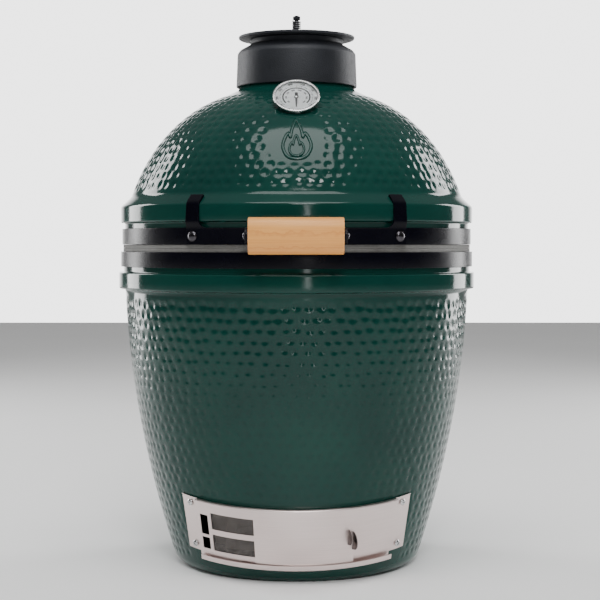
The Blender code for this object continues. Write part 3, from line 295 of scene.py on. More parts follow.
class Recipe:
    # a small helper to lay out the nodes of one tree
    def __init__(self, tree):
        self.tree = tree

    def feed(self, socket, value):
        # a socket takes a link, a colour of three numbers or a plain value
        if isinstance(value, bpy.types.NodeSocket):
            self.tree.links.new(value, socket)
        else:
            socket.default_value = (*value, 1.0) if socket.type == "RGBA" else value

    def node(self, kind, fed=None, **settings):
        made = self.tree.nodes.new(kind)
        for key, value in settings.items():
            setattr(made, key, value)
        for key, value in (fed or {}).items():
            self.feed(made.inputs[key], value)
        return made

    def group(self, tree, vector, **values):
        given = {key.replace("_", " "): value for key, value in values.items()}
        return self.node("ShaderNodeGroup", {"Vector": vector, **given}, node_tree=tree).outputs

    def noise(self, vector, scale, detail=3.0, roughness=0.5, distortion=0.0):
        made = self.node("ShaderNodeTexNoise", {
            "Vector": vector, "Scale": scale, "Detail": detail, "Roughness": roughness,
            "Distortion": distortion,
        })
        return made.outputs["Fac"]

    def stretched(self, vector, scale, location=(0, 0, 0)):
        made = self.node("ShaderNodeMapping", {"Vector": vector, "Scale": scale, "Location": location})
        return made.outputs["Vector"]

    def remap(self, value, low, high, outLow=0.0, outHigh=1.0):
        made = self.node("ShaderNodeMapRange", {
            "Value": value, "From Min": low, "From Max": high, "To Min": outLow, "To Max": outHigh,
        })
        return made.outputs["Result"]

    def maths(self, operation, first, second):
        return self.node("ShaderNodeMath", {0: first, 1: second}, operation=operation).outputs["Value"]

    def blend(self, factor, first, second):
        return self.node("ShaderNodeMix", {0: factor, 6: first, 7: second}, data_type="RGBA").outputs[2]

    def ramp(self, value, stops):
        made = self.node("ShaderNodeValToRGB", {"Fac": value})
        elements = made.color_ramp.elements
        while len(elements) < len(stops):
            elements.new(0.5)
        for element, (position, colour) in zip(elements, stops):
            element.position = position
            element.color = (*colour, 1.0)
        return made.outputs["Color"]

    def bump(self, height, strength, distance):
        made = self.node("ShaderNodeBump", {"Height": height, "Strength": strength, "Distance": distance})
        return made.outputs["Normal"]

    def objectCoordinates(self):
        return self.node("ShaderNodeTexCoord").outputs["Object"]


class Finish(Recipe):
    # a material with its shader, which wear() completes
    def __init__(self, name, colour, roughness, metallic=0.0):
        self.material = bpy.data.materials.get(name) or bpy.data.materials.new(name)
        self.material.use_nodes = True
        super().__init__(self.material.node_tree)
        self.tree.nodes.clear()
        self.shader = self.node("ShaderNodeBsdfPrincipled", {
            "Base Color": colour, "Roughness": roughness, "Metallic": metallic,
        })
        self.node("ShaderNodeOutputMaterial", {"Surface": self.shader.outputs["BSDF"]})

    def speckle(self, grain, patch):
        spots = self.group(speckleGroup, self.objectCoordinates(), Grain_Scale=grain, Patch_Scale=patch)
        return spots["Grain"], spots["Patch"]

    def edges(self, width, strength):
        wear = self.group(wearGroup, self.objectCoordinates(), Width=width)["Wear"]
        return self.maths("MULTIPLY", wear, strength)

    def wear(self, **looks):
        names = {"colour": "Base Color", "roughness": "Roughness", "normal": "Normal"}
        for key, value in looks.items():
            self.feed(self.shader.inputs[names.get(key) or key.replace("_", " ")], value)
        return self.material


def newGroup(name, inputs, outputs):
    tree = bpy.data.node_groups.new(name, "ShaderNodeTree")
    tree.interface.new_socket(name="Vector", in_out="INPUT", socket_type="NodeSocketVector")
    for label, value in inputs.items():
        socket = tree.interface.new_socket(name=label, in_out="INPUT", socket_type="NodeSocketFloat")
        socket.default_value = value
    for label in outputs:
        tree.interface.new_socket(name=label, in_out="OUTPUT", socket_type="NodeSocketFloat")
    recipe = Recipe(tree)
    return recipe, recipe.node("NodeGroupInput").outputs, recipe.node("NodeGroupOutput").inputs


def makeSpeckle():
    # fine grains and broad patches of a fired or cast surface
    recipe, given, put = newGroup("speckle", {"Grain Scale": 900.0, "Patch Scale": 12.0}, ("Grain", "Patch"))
    for label, detail in (("Grain", 4.0), ("Patch", 3.0)):
        recipe.feed(put[label], recipe.noise(given["Vector"], given[f"{label} Scale"], detail))
    return recipe.tree


def makeEdgeWear():
    # a mask that is strong on convex edges, broken up by noise
    recipe, given, put = newGroup("edgeWear", {"Width": 0.0012}, ("Wear",))
    bevel = recipe.node("ShaderNodeBevel", {"Radius": given["Width"]}, samples=4)
    geometry = recipe.node("ShaderNodeNewGeometry")
    sides = {0: bevel.outputs["Normal"], 1: geometry.outputs["Normal"]}
    dot = recipe.node("ShaderNodeVectorMath", sides, operation="DOT_PRODUCT")
    edge = recipe.remap(dot.outputs["Value"], 0.995, 0.90)
    broken = recipe.remap(recipe.noise(given["Vector"], 260.0, 4.0), 0.42, 0.62)
    recipe.feed(put["Wear"], recipe.maths("MULTIPLY", edge, broken))
    return recipe.tree


def makeBrushing():
    # long fine scratches along X of the vector that it is given
    recipe, given, put = newGroup("brushing", {}, ("Lines", "Smudge"))
    along = recipe.stretched(given["Vector"], (14.0, 4200.0, 4200.0))
    recipe.feed(put["Lines"], recipe.noise(along, 1.0, 2.0, 0.6))
    recipe.feed(put["Smudge"], recipe.noise(given["Vector"], 22.0))
    return recipe.tree


speckleGroup = makeSpeckle()
wearGroup = makeEdgeWear()
brushGroup = makeBrushing()


glazeLook = {
    "deep": (0.0015, 0.033, 0.026), "thin": (0.0032, 0.048, 0.036), "pool": (0.0010, 0.020, 0.018),
    "fleck": (0.05, 0.14, 0.11), "painted_jamb_shade": (0.0020, 0.0030, 0.0028), "bare": (0.40, 0.34, 0.26),
    "roughness": 0.10, "shine": 0.28,
}


def makeGlaze():
    # the dish attribute is 0 to 1 down a dish, above 1 on a cut edge, where a near-black painted shade stands
    # in for the shadow inside the draft opening's jamb, and -1 where nothing is glazed
    look = Finish("green_glaze", glazeLook["deep"], glazeLook["roughness"])
    grain, patch = look.speckle(1400.0, 9.0)
    dish = look.node("ShaderNodeAttribute", attribute_name="dish").outputs["Fac"]
    colour = look.blend(look.remap(patch, 0.30, 0.80), glazeLook["deep"], glazeLook["thin"])
    colour = look.blend(look.maths("MULTIPLY", dish, 0.20), colour, glazeLook["pool"])
    # painted shade: a dish value above 1 turns the colour near-black on the opening's jamb
    colour = look.blend(look.remap(dish, 1.0, 2.0), colour, glazeLook["painted_jamb_shade"])
    flecks = look.remap(grain, 0.66, 0.74)
    colour = look.blend(look.maths("MULTIPLY", flecks, 0.30), colour, glazeLook["fleck"])
    bare = look.remap(dish, 0.0, -1.0)
    gloss = look.remap(patch, 0.3, 0.7, 0.08, 0.13)
    ripple = look.noise(look.objectCoordinates(), 160.0)
    return look.wear(
        colour=look.blend(bare, colour, glazeLook["bare"]),
        roughness=look.maths("MAXIMUM", gloss, look.maths("MULTIPLY", bare, 0.85)),
        normal=look.bump(ripple, 0.10, 0.0006), Specular_IOR_Level=glazeLook["shine"],
    )


def makeFireclay():
    look = Finish("fireclay", (0.42, 0.33, 0.25), 0.9)
    grain, patch = look.speckle(520.0, 14.0)
    colour = look.ramp(patch, [(0.3, (0.30, 0.225, 0.165)), (0.7, (0.47, 0.37, 0.285))])
    return look.wear(
        colour=look.blend(look.remap(grain, 0.60, 0.72, 0.0, 0.5), colour, (0.10, 0.08, 0.07)),
        normal=look.bump(grain, 0.5, 0.0012),
    )


def makeFelt():
    look = Finish("gasket_felt", (0.45, 0.44, 0.41), 1.0)
    where = look.objectCoordinates()
    fibres = look.noise(look.stretched(where, (700.0, 700.0, 1500.0)), 1.0, 5.0, 0.7, 1.2)
    colour = look.ramp(fibres, [(0.3, (0.075, 0.075, 0.070)), (0.7, (0.26, 0.255, 0.24))])
    stain = look.remap(look.noise(where, 40.0), 0.5, 0.75, 0.0, 0.6)
    return look.wear(
        colour=look.blend(stain, colour, (0.06, 0.052, 0.045)), normal=look.bump(fibres, 0.9, 0.0008),
        Sheen_Weight=0.4,
    )


def makeEnamel():
    look = Finish("black_enamel", (0.006, 0.006, 0.008), 0.28)
    grain, patch = look.speckle(1100.0, 25.0)
    return look.wear(
        colour=look.blend(look.edges(0.0008, 0.25), (0.0012, 0.0012, 0.0040), (0.06, 0.06, 0.07)),
        roughness=look.remap(patch, 0.3, 0.7, 0.22, 0.32), normal=look.bump(grain, 0.12, 0.0004),
        Specular_IOR_Level=0.14,
    )


def makeCastIron():
    look = Finish("cast_iron", (0.022, 0.023, 0.026), 0.52, 0.25)
    grain, patch = look.speckle(750.0, 30.0)
    colour = look.ramp(patch, [(0.3, (0.011, 0.013, 0.017)), (0.7, (0.018, 0.020, 0.026))])
    return look.wear(
        colour=look.blend(look.edges(0.0010, 0.35), colour, (0.09, 0.09, 0.095)),
        roughness=look.remap(grain, 0.3, 0.7, 0.42, 0.62), normal=look.bump(grain, 0.45, 0.0009),
    )


def makeBrushed(name, colour, roughness, attribute=None):
    look = Finish(name, colour, roughness, 1.0)
    if attribute:
        where = look.node("ShaderNodeAttribute", attribute_name=attribute).outputs["Vector"]
    else:
        where = look.objectCoordinates()
    strokes = look.group(brushGroup, where)
    dark = tuple(channel * 0.90 for channel in colour)
    light = tuple(min(channel * 1.06, 1.0) for channel in colour)
    around = look.node("ShaderNodeTangent", direction_type="RADIAL", axis="Z")
    return look.wear(
        colour=look.ramp(strokes["Lines"], [(0.3, dark), (0.7, light)]),
        roughness=look.remap(strokes["Smudge"], 0.3, 0.7, roughness * 0.85, roughness * 1.25),
        normal=look.bump(strokes["Lines"], 0.10, 0.0001), Tangent=around.outputs["Tangent"],
        Anisotropic=0.55, Anisotropic_Rotation=0.25,
    )


def makePlated(name, colour, roughness):
    look = Finish(name, colour, roughness, 1.0)
    grain, patch = look.speckle(1600.0, 90.0)
    dark = tuple(channel * 0.7 for channel in colour)
    return look.wear(
        colour=look.ramp(patch, [(0.3, dark), (0.6, colour)]),
        roughness=look.remap(grain, 0.3, 0.7, roughness * 0.8, roughness * 1.4),
        normal=look.bump(grain, 0.08, 0.0002),
    )


beechLook = {"light": (0.90, 0.44, 0.112), "dark": (0.66, 0.21, 0.036), "fleck": (0.42, 0.13, 0.026)}


def makeBeech():
    # rings run along X, and short dark rays stand across them
    light, dark = beechLook["light"], beechLook["dark"]
    look = Finish("beech", light, 0.42)
    centred = look.stretched(look.objectCoordinates(), (1, 1, 1), (0.02, -gripY - 0.10, -gripZ + 0.035))
    bent = look.noise(look.stretched(centred, (5.0, 30.0, 30.0)), 1.0, 2.0)
    rings = {"Vector": centred, "Scale": 62.0, "Distortion": 3.5, "Detail": 3.0, "Detail Scale": 1.4}
    wave = look.node(
        "ShaderNodeTexWave", rings, wave_type="RINGS", rings_direction="X", wave_profile="SAW"
    )
    fibre = look.noise(look.stretched(centred, (18.0, 1300.0, 1300.0)), 1.0, 4.0, 0.6)
    rays = look.noise(look.stretched(centred, (240.0, 2600.0, 1500.0)), 1.0, 2.0)
    middle = tuple((a + b) / 2 for a, b in zip(light, dark))
    colour = look.ramp(wave.outputs["Fac"], [(0.0, light), (0.7, light), (1.0, middle)])
    colour = look.blend(look.remap(fibre, 0.40, 0.75, 0.0, 0.55), colour, dark)
    colour = look.blend(look.remap(rays, 0.66, 0.78, 0.0, 0.55), colour, beechLook["fleck"])
    return look.wear(
        colour=look.blend(look.remap(bent, 0.3, 0.8, 0.0, 0.30), colour, dark),
        roughness=look.remap(fibre, 0.3, 0.7, 0.36, 0.52), normal=look.bump(fibre, 0.22, 0.0003),
    )


def makeDialFace():
    look = Finish("dial_white", (0.82, 0.83, 0.84), 0.38)
    strokes = look.noise(look.stretched(look.objectCoordinates(), (30.0, 1500.0, 1500.0)), 1.0)
    colour = look.ramp(strokes, [(0.3, (0.84, 0.86, 0.87)), (0.7, (0.95, 0.96, 0.97))])
    return look.wear(colour=colour, normal=look.bump(strokes, 0.05, 0.0001))


def makePrint(name, colour, roughness):
    look = Finish(name, colour, roughness)
    patch = look.noise(look.objectCoordinates(), 500.0, 2.0)
    lighter = tuple(channel * 1.4 + 0.004 for channel in colour)
    return look.wear(
        colour=look.ramp(patch, [(0.35, colour), (0.75, lighter)]),
        roughness=look.remap(patch, 0.3, 0.7, roughness * 0.8, roughness * 1.2),
    )


def makeGlass():
    look = Finish("gauge_glass", (0.97, 0.98, 0.98), 0.03)
    dust = look.remap(look.noise(look.objectCoordinates(), 380.0, 4.0), 0.5, 0.8, 0.02, 0.08)
    return look.wear(roughness=dust, Transmission_Weight=1.0, IOR=1.45)


makeFireclay()  # the liner pieces come with this slot
glaze = makeGlaze()
felt = makeFelt()
enamel = makeEnamel()
castIron = makeCastIron()
stainless = makeBrushed("stainless", (0.82, 0.705, 0.68), 0.36, "sheet")
gridWire = makeBrushed("grid_wire", (0.55, 0.54, 0.52), 0.30)
springSteel = makePlated("spring_steel", (0.13, 0.13, 0.14), 0.33)
zinc = makePlated("bright_zinc", (0.66, 0.66, 0.66), 0.20)
# painted reflection: the bright zinc bolt heads get a near-black colour for the dark surroundings they
# reflect
boltPaintedReflection = makePlated("bolt_painted_reflection", (0.085, 0.080, 0.090), 0.20)
# painted reflection: the stainless door tab gets a near-black colour for the dark surroundings it reflects
tabPaintedReflection = makePlated("tab_painted_reflection", (0.115, 0.095, 0.092), 0.30)
screenWire = makePlated("screen_wire", (0.24, 0.22, 0.21), 0.38)
beech = makeBeech()
dialWhite = makeDialFace()
needleBlack = makePrint("needle_black", (0.012, 0.012, 0.014), 0.35)
arcGrey = makePrint("dial_grey", (0.022, 0.024, 0.026), 0.4)
rubber = makePrint("silicone_seal", (0.02, 0.02, 0.02), 0.55)
glass = makeGlass()
print("finishes made")


# ceramic shells

shell = {
    "wall": 0.024, "floor": 0.026, "foot": 0.158, "wallInset": 0.0015, "ringProud": 0.0059,
    "upperRingProud": 0.0052, "ringHeight": 0.021, "ringRound": 0.0022, "lowerRingDrop": 0.0265,
    "upperGroove": 0.0278, "shoulderRise": 0.0095, "shoulderInset": 0.0089,
    "fullness": 0.0123, "drop": 0.1035, "rise": 0.2163, "power": 2.5,
    "neck": 0.0735, "neckFlare": 0.022, "flue": 0.052, "steps": 600, "rowStep": 0.0023,
}
dishes = {
    "domePitch": 0.0134, "basePitch": 0.0142, "radius": 0.0062, "depth": 0.00105, "jitter": 0.20,
    "fadeRings": 0.008,
}


def baseRadius(z):
    share = z / seatZ
    return shell["foot"] + (rimRadius - shell["wallInset"] - shell["foot"]) * (2 * share - share * share)


def domeCurve(inset):
    wide = rimRadius + shell["fullness"] - inset
    return wide, shell["rise"] + shell["drop"] - inset, shell["power"]


def domeRadius(z, inset=0.0):
    wide, tall, power = domeCurve(inset)
    share = (z - seatZ + shell["drop"]) / tall
    return wide * (1 - share**power) ** (1 / power)


def domeHeight(radius, inset=0.0):
    wide, tall, power = domeCurve(inset)
    return seatZ - shell["drop"] + tall * (1 - (radius / wide) ** power) ** (1 / power)


def evenly(points, step):
    # the same outline with its points spaced evenly along it
    lengths = [0.0]
    for first, second in zip(points, points[1:]):
        lengths.append(lengths[-1] + (Vector(second) - Vector(first)).length)
    count = max(1, round(lengths[-1] / step))
    result, index = [], 0
    for mark in range(count + 1):
        target = lengths[-1] * mark / count
        while index < len(points) - 2 and lengths[index + 1] < target:
            index += 1
        share = (target - lengths[index]) / (lengths[index + 1] - lengths[index])
        spot = Vector(points[index]).lerp(Vector(points[index + 1]), share)
        result.append((spot.x, spot.y))
    return result


def dishCentres(outline, pitch, seed):
    # staggered rows of dish centres around the shell, with a little disorder
    dice = random.Random(seed)
    rows = evenly(outline, pitch * 0.93)
    centres = []
    for rowIndex, (radius, height) in enumerate(rows[1:-1]):
        count = max(6, round(2 * math.pi * radius / (pitch * 1.05)))
        shift = 0.5 * (rowIndex % 2) + dice.uniform(-0.12, 0.12)
        for index in range(count):
            turn = 2 * math.pi * (index + shift + dice.uniform(-1, 1) * dishes["jitter"]) / count
            level = height + dice.uniform(-1, 1) * dishes["jitter"] * pitch * 0.5
            size = dice.uniform(0.88, 1.10)
            centres.append((Vector((radius * math.sin(turn), -radius * math.cos(turn), level)), size))
    return centres


def hammer(bm, centres, spans, keepOut=None):
    # presses a shallow dish at every centre and notes its depth for the glaze
    tree = kdtree.KDTree(len(centres))
    for index, (centre, size) in enumerate(centres):
        tree.insert(centre, index)
    tree.balance()
    layer = bm.verts.layers.float.new("dish")
    low, high = spans
    bm.normal_update()
    moves = []
    for vert in bm.verts:
        place = vert.co
        if not low < place.z < high or place.x ** 2 + place.y ** 2 < 0.01 and place.z < seatZ:
            continue
        outward = vert.normal
        if outward.x * place.x + outward.y * place.y + outward.z * max(place.z - seatZ, 0) < 0:
            continue
        spot, index, distance = tree.find(place)
        reach = dishes["radius"] * centres[index][1]
        if distance > reach:
            continue
        fade = min(1.0, (place.z - low) / dishes["fadeRings"], (high - place.z) / dishes["fadeRings"])
        if keepOut:
            fade *= keepOut(place)
        share = 0.5 + 0.5 * math.cos(math.pi * distance / reach)
        depth = share ** 0.8 * fade
        vert[layer] = depth
        moves.append((vert, outward * (-dishes["depth"] * centres[index][1] * depth)))
    for vert, move in moves:
        vert.co += move


def leaveBare(bm, isInside):
    # no glaze on the inner faces
    layer = bm.verts.layers.float["dish"]
    for vert in bm.verts:
        if isInside(math.hypot(vert.co.x, vert.co.y), vert.co.z):
            vert[layer] = -1.0


def insideBase(radius, z):
    return z > shell["floor"] - 0.0005 and radius < baseRadius(z) - shell["wall"] * 0.6


def insideDome(radius, z):
    if radius < shell["flue"] + 0.002:
        return True
    return z < crownZ - 0.002 and radius < domeRadius(z) - shell["wall"] * 0.6


# the draft door's sheets are rolled on a cone whose axis leans forward
draft = {
    "level": 0.0571, "shift": 0.005, "standoff": 0.0018, "cone": 0.15, "tip": 1.57,
    "half": 0.0411, "arc": 48.8, "rail": 40.2, "sheet": 0.0012, "channel": 0.0047, "lip": 0.0072,
    "opening": (-40.3, -5.0), "openingHalf": 0.0265, "screwAzimuth": 44.3,
    "screwHeights": {"upper": 0.0325, "lower": -0.0235}, "screwSeat": 0.00192,
}
wallSlope = 2 * (rimRadius - shell["wallInset"] - shell["foot"]) * (1 - draft["level"] / seatZ) / seatZ
draftLean = math.atan(wallSlope) - math.atan(draft["cone"]) + math.radians(draft["tip"])


def draftBack(height):
    middle = baseRadius(draft["level"]) + draft["shift"] / math.cos(draftLean) + draft["standoff"]
    return middle + draft["cone"] * height


draftPlace = moved(0, draft["shift"], draft["level"] + draftBack(0) * math.sin(draftLean))
draftFrame = draftPlace @ Matrix.Rotation(draftLean, 4, "X")
draftInverse = draftFrame.inverted()


def onRoll(place):
    # azimuth, height and radius of a point about the draft door's own axis
    own = draftInverse @ place
    return math.degrees(math.atan2(own.x, -own.y)), own.z, math.hypot(own.x, own.y)


def draftKeepOut(place):
    azimuth, height, radius = onRoll(place)
    beyond = max(abs(azimuth) - draft["arc"] - 1.0, (abs(height) - draft["half"] - 0.003) * 300)
    return min(1.0, max(0.0, beyond / 2.0))


def seatSheets(bm):
    # lowers the ceramic behind the draft frame, as the real wall is ground flat there
    for vert in bm.verts:
        if vert.co.y > -0.08 or vert.co.z > 0.12:
            continue
        azimuth, height, radius = onRoll(vert.co)
        limit = draftBack(height) - 0.0004
        inside = abs(azimuth) < draft["arc"] + 1.4 and abs(height) < draft["half"] + 0.002
        if inside and limit < radius < limit + 0.012:
            own = draftInverse @ vert.co
            own.x *= limit / radius
            own.y *= limit / radius
            vert.co = draftFrame @ own


def openDraft(bm):
    # takes both skins away at the opening and joins their edges through the wall
    def inOpening(place, margin):
        azimuth, height, radius = onRoll(place)
        low, high = draft["opening"]
        if place.y > -0.05 or radius < draftBack(height) - 0.040:
            return False
        half = draft["openingHalf"] + margin * 0.003
        return low - margin < azimuth < high + margin and abs(height) < half

    doomed = [face for face in bm.faces if inOpening(face.calc_center_median(), 0.8)]
    bmesh.ops.delete(bm, geom=doomed, context="FACES")
    rims = [edge for edge in bm.edges if edge.is_boundary]
    bmesh.ops.bridge_loops(bm, edges=rims)
    # the cut edge of the wall gets painted shade: a near-black colour for the shadow inside the opening's
    # jamb
    layer = bm.verts.layers.float["dish"]
    for vert in {corner for edge in rims if edge.is_valid for corner in edge.verts}:
        vert[layer] = 5.0


def makeBaseShell():
    ring = rimRadius + shell["ringProud"]
    ringTop = seatZ - shell["lowerRingDrop"]
    ringBottom = ringTop - shell["ringHeight"]
    wallTop = ringBottom - 0.005
    levels = [wallTop * index / 60 for index in range(60, 1, -1)]
    wall = evenly([(baseRadius(z), z) for z in levels], shell["rowStep"])
    foot = baseRadius(0)
    crown = [
        (rimRadius - shell["wall"] * 0.9, seatZ), (rimRadius, seatZ), (rimRadius, ringTop),
        (ring, ringTop), (ring, ringBottom), (baseRadius(ringBottom) + 0.0004, ringBottom - 0.0012), wall[0],
    ]
    outside = filleted(crown, shell["ringRound"])[:-1] + wall
    outside += filleted([wall[-1], (foot, 0.006), (foot - 0.008, 0.0), (0.12, 0.0)], 0.005)[1:]
    outside.append((0.0, 0.0))
    inner = [0.035 + 0.005 * index for index in range(16)]
    inner += [seatZ * share for share in (0.36, 0.5, 0.66, 0.82)]
    floor = shell["floor"]
    inside = [(0.0, floor), (baseRadius(floor) - shell["wall"] - 0.008, floor)]
    inside += [(baseRadius(z) - shell["wall"], z) for z in inner]
    bm = spun(inside + outside, shell["steps"])
    bmesh.ops.recalc_face_normals(bm, faces=bm.faces)
    centres = dishCentres(wall, dishes["basePitch"], 11)
    hammer(bm, centres, (0.010, wallTop - 0.001), draftKeepOut)
    leaveBare(bm, insideBase)
    seatSheets(bm)
    openDraft(bm)
    return newPiece("base_ceramic", bm, glaze, "base", ["base_shell"])


emblem = {"level": 0.545, "across": 0.066, "tall": 0.060, "raised": 0.0019}


def emblemKeepOut(place):
    if place.y > 0:
        return 1.0
    across = abs(place.x) / (emblem["across"] / 2)
    tall = abs(place.z - emblem["level"]) / (emblem["tall"] / 2)
    beyond = (across**3 + tall**3) ** (1 / 3)
    return min(1.0, max(0.0, (beyond - 1.0) * 5.0))


def makeDomeShell():
    ring = upperRim + shell["upperRingProud"]
    ringBottom = upperSeatZ + shell["upperGroove"]
    ringTop = ringBottom + shell["ringHeight"]
    shoulderZ = ringTop + shell["shoulderRise"]
    shoulder = ring - 0.0013 - shell["shoulderInset"]
    flare = shell["neck"] + shell["neckFlare"]
    start = shoulderZ + 0.004
    levels = [start + (domeHeight(flare) - start) * math.sin(math.pi / 2 * i / 70) for i in range(71)]
    curve = evenly([(domeRadius(z), z) for z in levels], shell["rowStep"])
    lower = [
        (upperRim - 0.020, upperSeatZ), (upperRim, upperSeatZ), (upperRim, ringBottom), (ring, ringBottom),
        (ring, ringTop), (shoulder, shoulderZ), curve[0],
    ]
    outside = filleted(lower, shell["ringRound"])[:-1] + curve
    outer, flue = shell["neck"], shell["flue"]
    neck = [
        curve[-1], (outer + 0.004, crownZ - 0.005), (outer, crownZ + 0.003), (outer, neckTop),
        (flue, neckTop), (flue, domeHeight(flue, shell["wall"])),
    ]
    outside += filleted(neck, 0.003)[1:]
    inside = [domeHeight(flue + 0.03, shell["wall"])]
    inside += [upperSeatZ + (inside[0] - upperSeatZ) * share for share in (0.85, 0.66, 0.46, 0.24)]
    outside += [(domeRadius(z, shell["wall"]), z) for z in inside]
    bm = spun(outside, shell["steps"], closed=True)
    bmesh.ops.recalc_face_normals(bm, faces=bm.faces)
    centres = dishCentres(curve, dishes["domePitch"], 23)
    hammer(bm, centres, (start + 0.002, domeHeight(flare) + 0.002), emblemKeepOut)
    leaveBare(bm, insideDome)
    return newPiece("dome_ceramic", bm, glaze, "dome", ["dome_shell"])


def flameOutline(size, lift):
    # a smooth closed curve through the corners of a plain flame
    right = [(0.0, -0.024), (0.012, -0.021), (0.018, -0.010), (0.0155, 0.001), (0.0105, 0.008)]
    right += [(0.008, 0.003), (0.006, 0.012), (0.0, 0.025)]
    corners = [Vector((x * size, z * size + lift)) for x, z in right]
    corners += [Vector((-x * size * 0.9, z * size + lift)) for x, z in reversed(right[1:-1])]
    count, steps = len(corners), 10
    curve = []
    for index in range(count):
        before, here, after, beyond = (corners[(index + k) % count] for k in (-1, 0, 1, 2))
        for step in range(steps):
            t = step / steps
            square = 2 * before - 5 * here + 4 * after - beyond
            cube = 3 * here - before - 3 * after + beyond
            curve.append(0.5 * (2 * here + (after - before) * t + square * t**2 + cube * t**3))
    return curve


def makeEmblem():
    # two raised lines in the form of a flame, wrapped on the dome
    ridge = [(-1.0, -0.5), (-0.8, 0.45), (-0.35, 0.9), (0.35, 0.9), (0.8, 0.45), (1.0, -0.5)]
    lines = []
    for size, lift, wide in ((1.0, 0.0, 0.0023), (0.52, -0.008, 0.0017)):
        curve = flameOutline(size, lift)
        bm = bmesh.new()
        rings = []
        for index, spot in enumerate(curve):
            along = (curve[(index + 1) % len(curve)] - curve[index - 1]).normalized()
            side = Vector((along.y, -along.x))
            ring = []
            for across, proud in ridge:
                flat = spot + side * across * wide
                level = emblem["level"] + flat.y
                radius = domeRadius(level) + proud * emblem["raised"]
                turn = flat.x / radius
                ring.append(bm.verts.new((radius * math.sin(turn), -radius * math.cos(turn), level)))
            rings.append(ring)
        skinRings(bm, rings, closed=True)
        lines.append(bm)
    newPiece("dome_emblem", joined(lines), glaze, "dome", slotName="green_glaze", angle=80)


makeBaseShell()
makeDomeShell()
makeEmblem()
print("ceramic shells made")


# bands, felt and what lies between the two shells

bands = {"thick": 0.003, "round": 0.0005, "steps": 240, "feltFray": 0.00022, "feltSteps": 420}
bandLevels = (
    ("lower", "base", lowerBandLow, lowerBandHigh), ("upper", "dome", upperBandLow, upperBandHigh),
)


def makeBands():
    for level, body, low, high in bandLevels:
        outer, inner = high.x, high.x - bands["thick"]
        middle = (inner + outer) / 2
        profile = [(middle, low.z), (outer, low.z), (outer, high.z), (inner, high.z), (inner, low.z)]
        bm = spun(filleted([*profile, (middle, low.z)], bands["round"], 3)[:-1], bands["steps"], closed=True)
        newPiece(f"{level}_steel_band", bm, enamel, body, [f"{level}_band"])


def makeFelts():
    for (level, body, *_), seed in zip(bandLevels, (3.0, 9.0)):
        low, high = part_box(f"{level}_gasket")
        outer = high.x - slip
        inner = outer - 0.0188
        rows = 5
        edge = [(outer, low.z + (high.z - low.z) * index / rows) for index in range(rows + 1)]
        profile = [(inner, low.z), *edge, (inner, high.z)]
        bm = spun(profile, bands["feltSteps"], closed=True)
        for vert in bm.verts:
            if math.hypot(vert.co.x, vert.co.y) > outer - 0.001:
                pull = noise.noise(vert.co * 260 + Vector((0, 0, seed))) * bands["feltFray"]
                flat = Vector((vert.co.x, vert.co.y, 0)).normalized()
                vert.co += flat * (pull - bands["feltFray"])
        newPiece(f"{level}_felt", bm, felt, body, [f"{level}_gasket"])


# fasteners

def screwHead(size, shank, length, cross=True):
    # head above Z 0 and shank below it
    radius, top, doming = size
    shoulder = top * (1 - doming)
    rise = top - shoulder
    profile = [(0.0, top), (radius * 0.45, top - rise * 0.16), (radius * 0.8, top - rise * 0.55)]
    profile += [(radius, shoulder * 0.7), (radius, 0.0), (shank, 0.0), (shank, -length), (0.0, -length)]
    bm = spun(filleted(profile, radius * 0.18, 3), 36)
    if not cross:
        return bm
    wide, long = radius * 0.17 / 2, radius * 0.62
    slots = ((long, wide), (wide, long))
    return carve(bm, [boxPart((-x, -y, top * 0.45), (x, y, top * 2)) for x, y in slots])


def hexNut(radius, height, bore):
    # corners eased on both faces
    upper = [(radius * out, height * up) for out, up in ((0.0, 0.62), (0.80, 0.56), (1.02, 0.36))]
    rounded = spun(upper + [(out, -up) for out, up in reversed(upper)], 36)
    nut = carve(rod(radius, height, 6), [rounded], "INTERSECT")
    return carve(nut, [rod(bore, height * 2, 24)])


bolts = {
    "handleHead": (0.0062, 0.00372, 0.72), "hingeHead": (0.0055, 0.0033, 0.6),
    "smallHead": (0.0042, 0.0026, 0.5), "hookAzimuth": 32.3, "bracketBoltX": 0.0131,
}


def makeBandBolts():
    radius = bolts["handleHead"][0] * 1.06
    outer = upperBandHigh.x
    seat = outer + 0.0028 + 2 * paintGap
    for label, side in pairSides:
        shank = screwHead(bolts["handleHead"], 0.0025, seat - outer + 0.003, cross=False)
        rim = [(0.0028, 0.0), (radius, 0.0), (radius, 0.0009), (0.0028, 0.0009)]
        washer = spun(filleted(rim, 0.0003), 36)
        bm = placed(joined([shank, washer]), radialFrame(bolts["hookAzimuth"] * side, seat, gripZ))
        newPiece(f"hook_bolt_{label}", bm, boltPaintedReflection, "dome", [f"handle_bolt_{label}"], "bright_zinc")
    for level, body, low, high in bandLevels:
        seat = high.x + slip + 0.003 + paintGap
        turn = math.degrees(math.asin(bolts["bracketBoltX"] / seat))
        for label, side in pairSides:
            place = radialFrame(180 - side * turn, seat, (low.z + high.z) / 2)
            bm = placed(screwHead(bolts["hingeHead"], 0.0025, 0.006), place)
            name, node = f"{level}_hinge_bolt_{label}", f"{level}_bracket_bolt_{label}"
            newPiece(name, bm, boltPaintedReflection, body, [node], "bright_zinc")


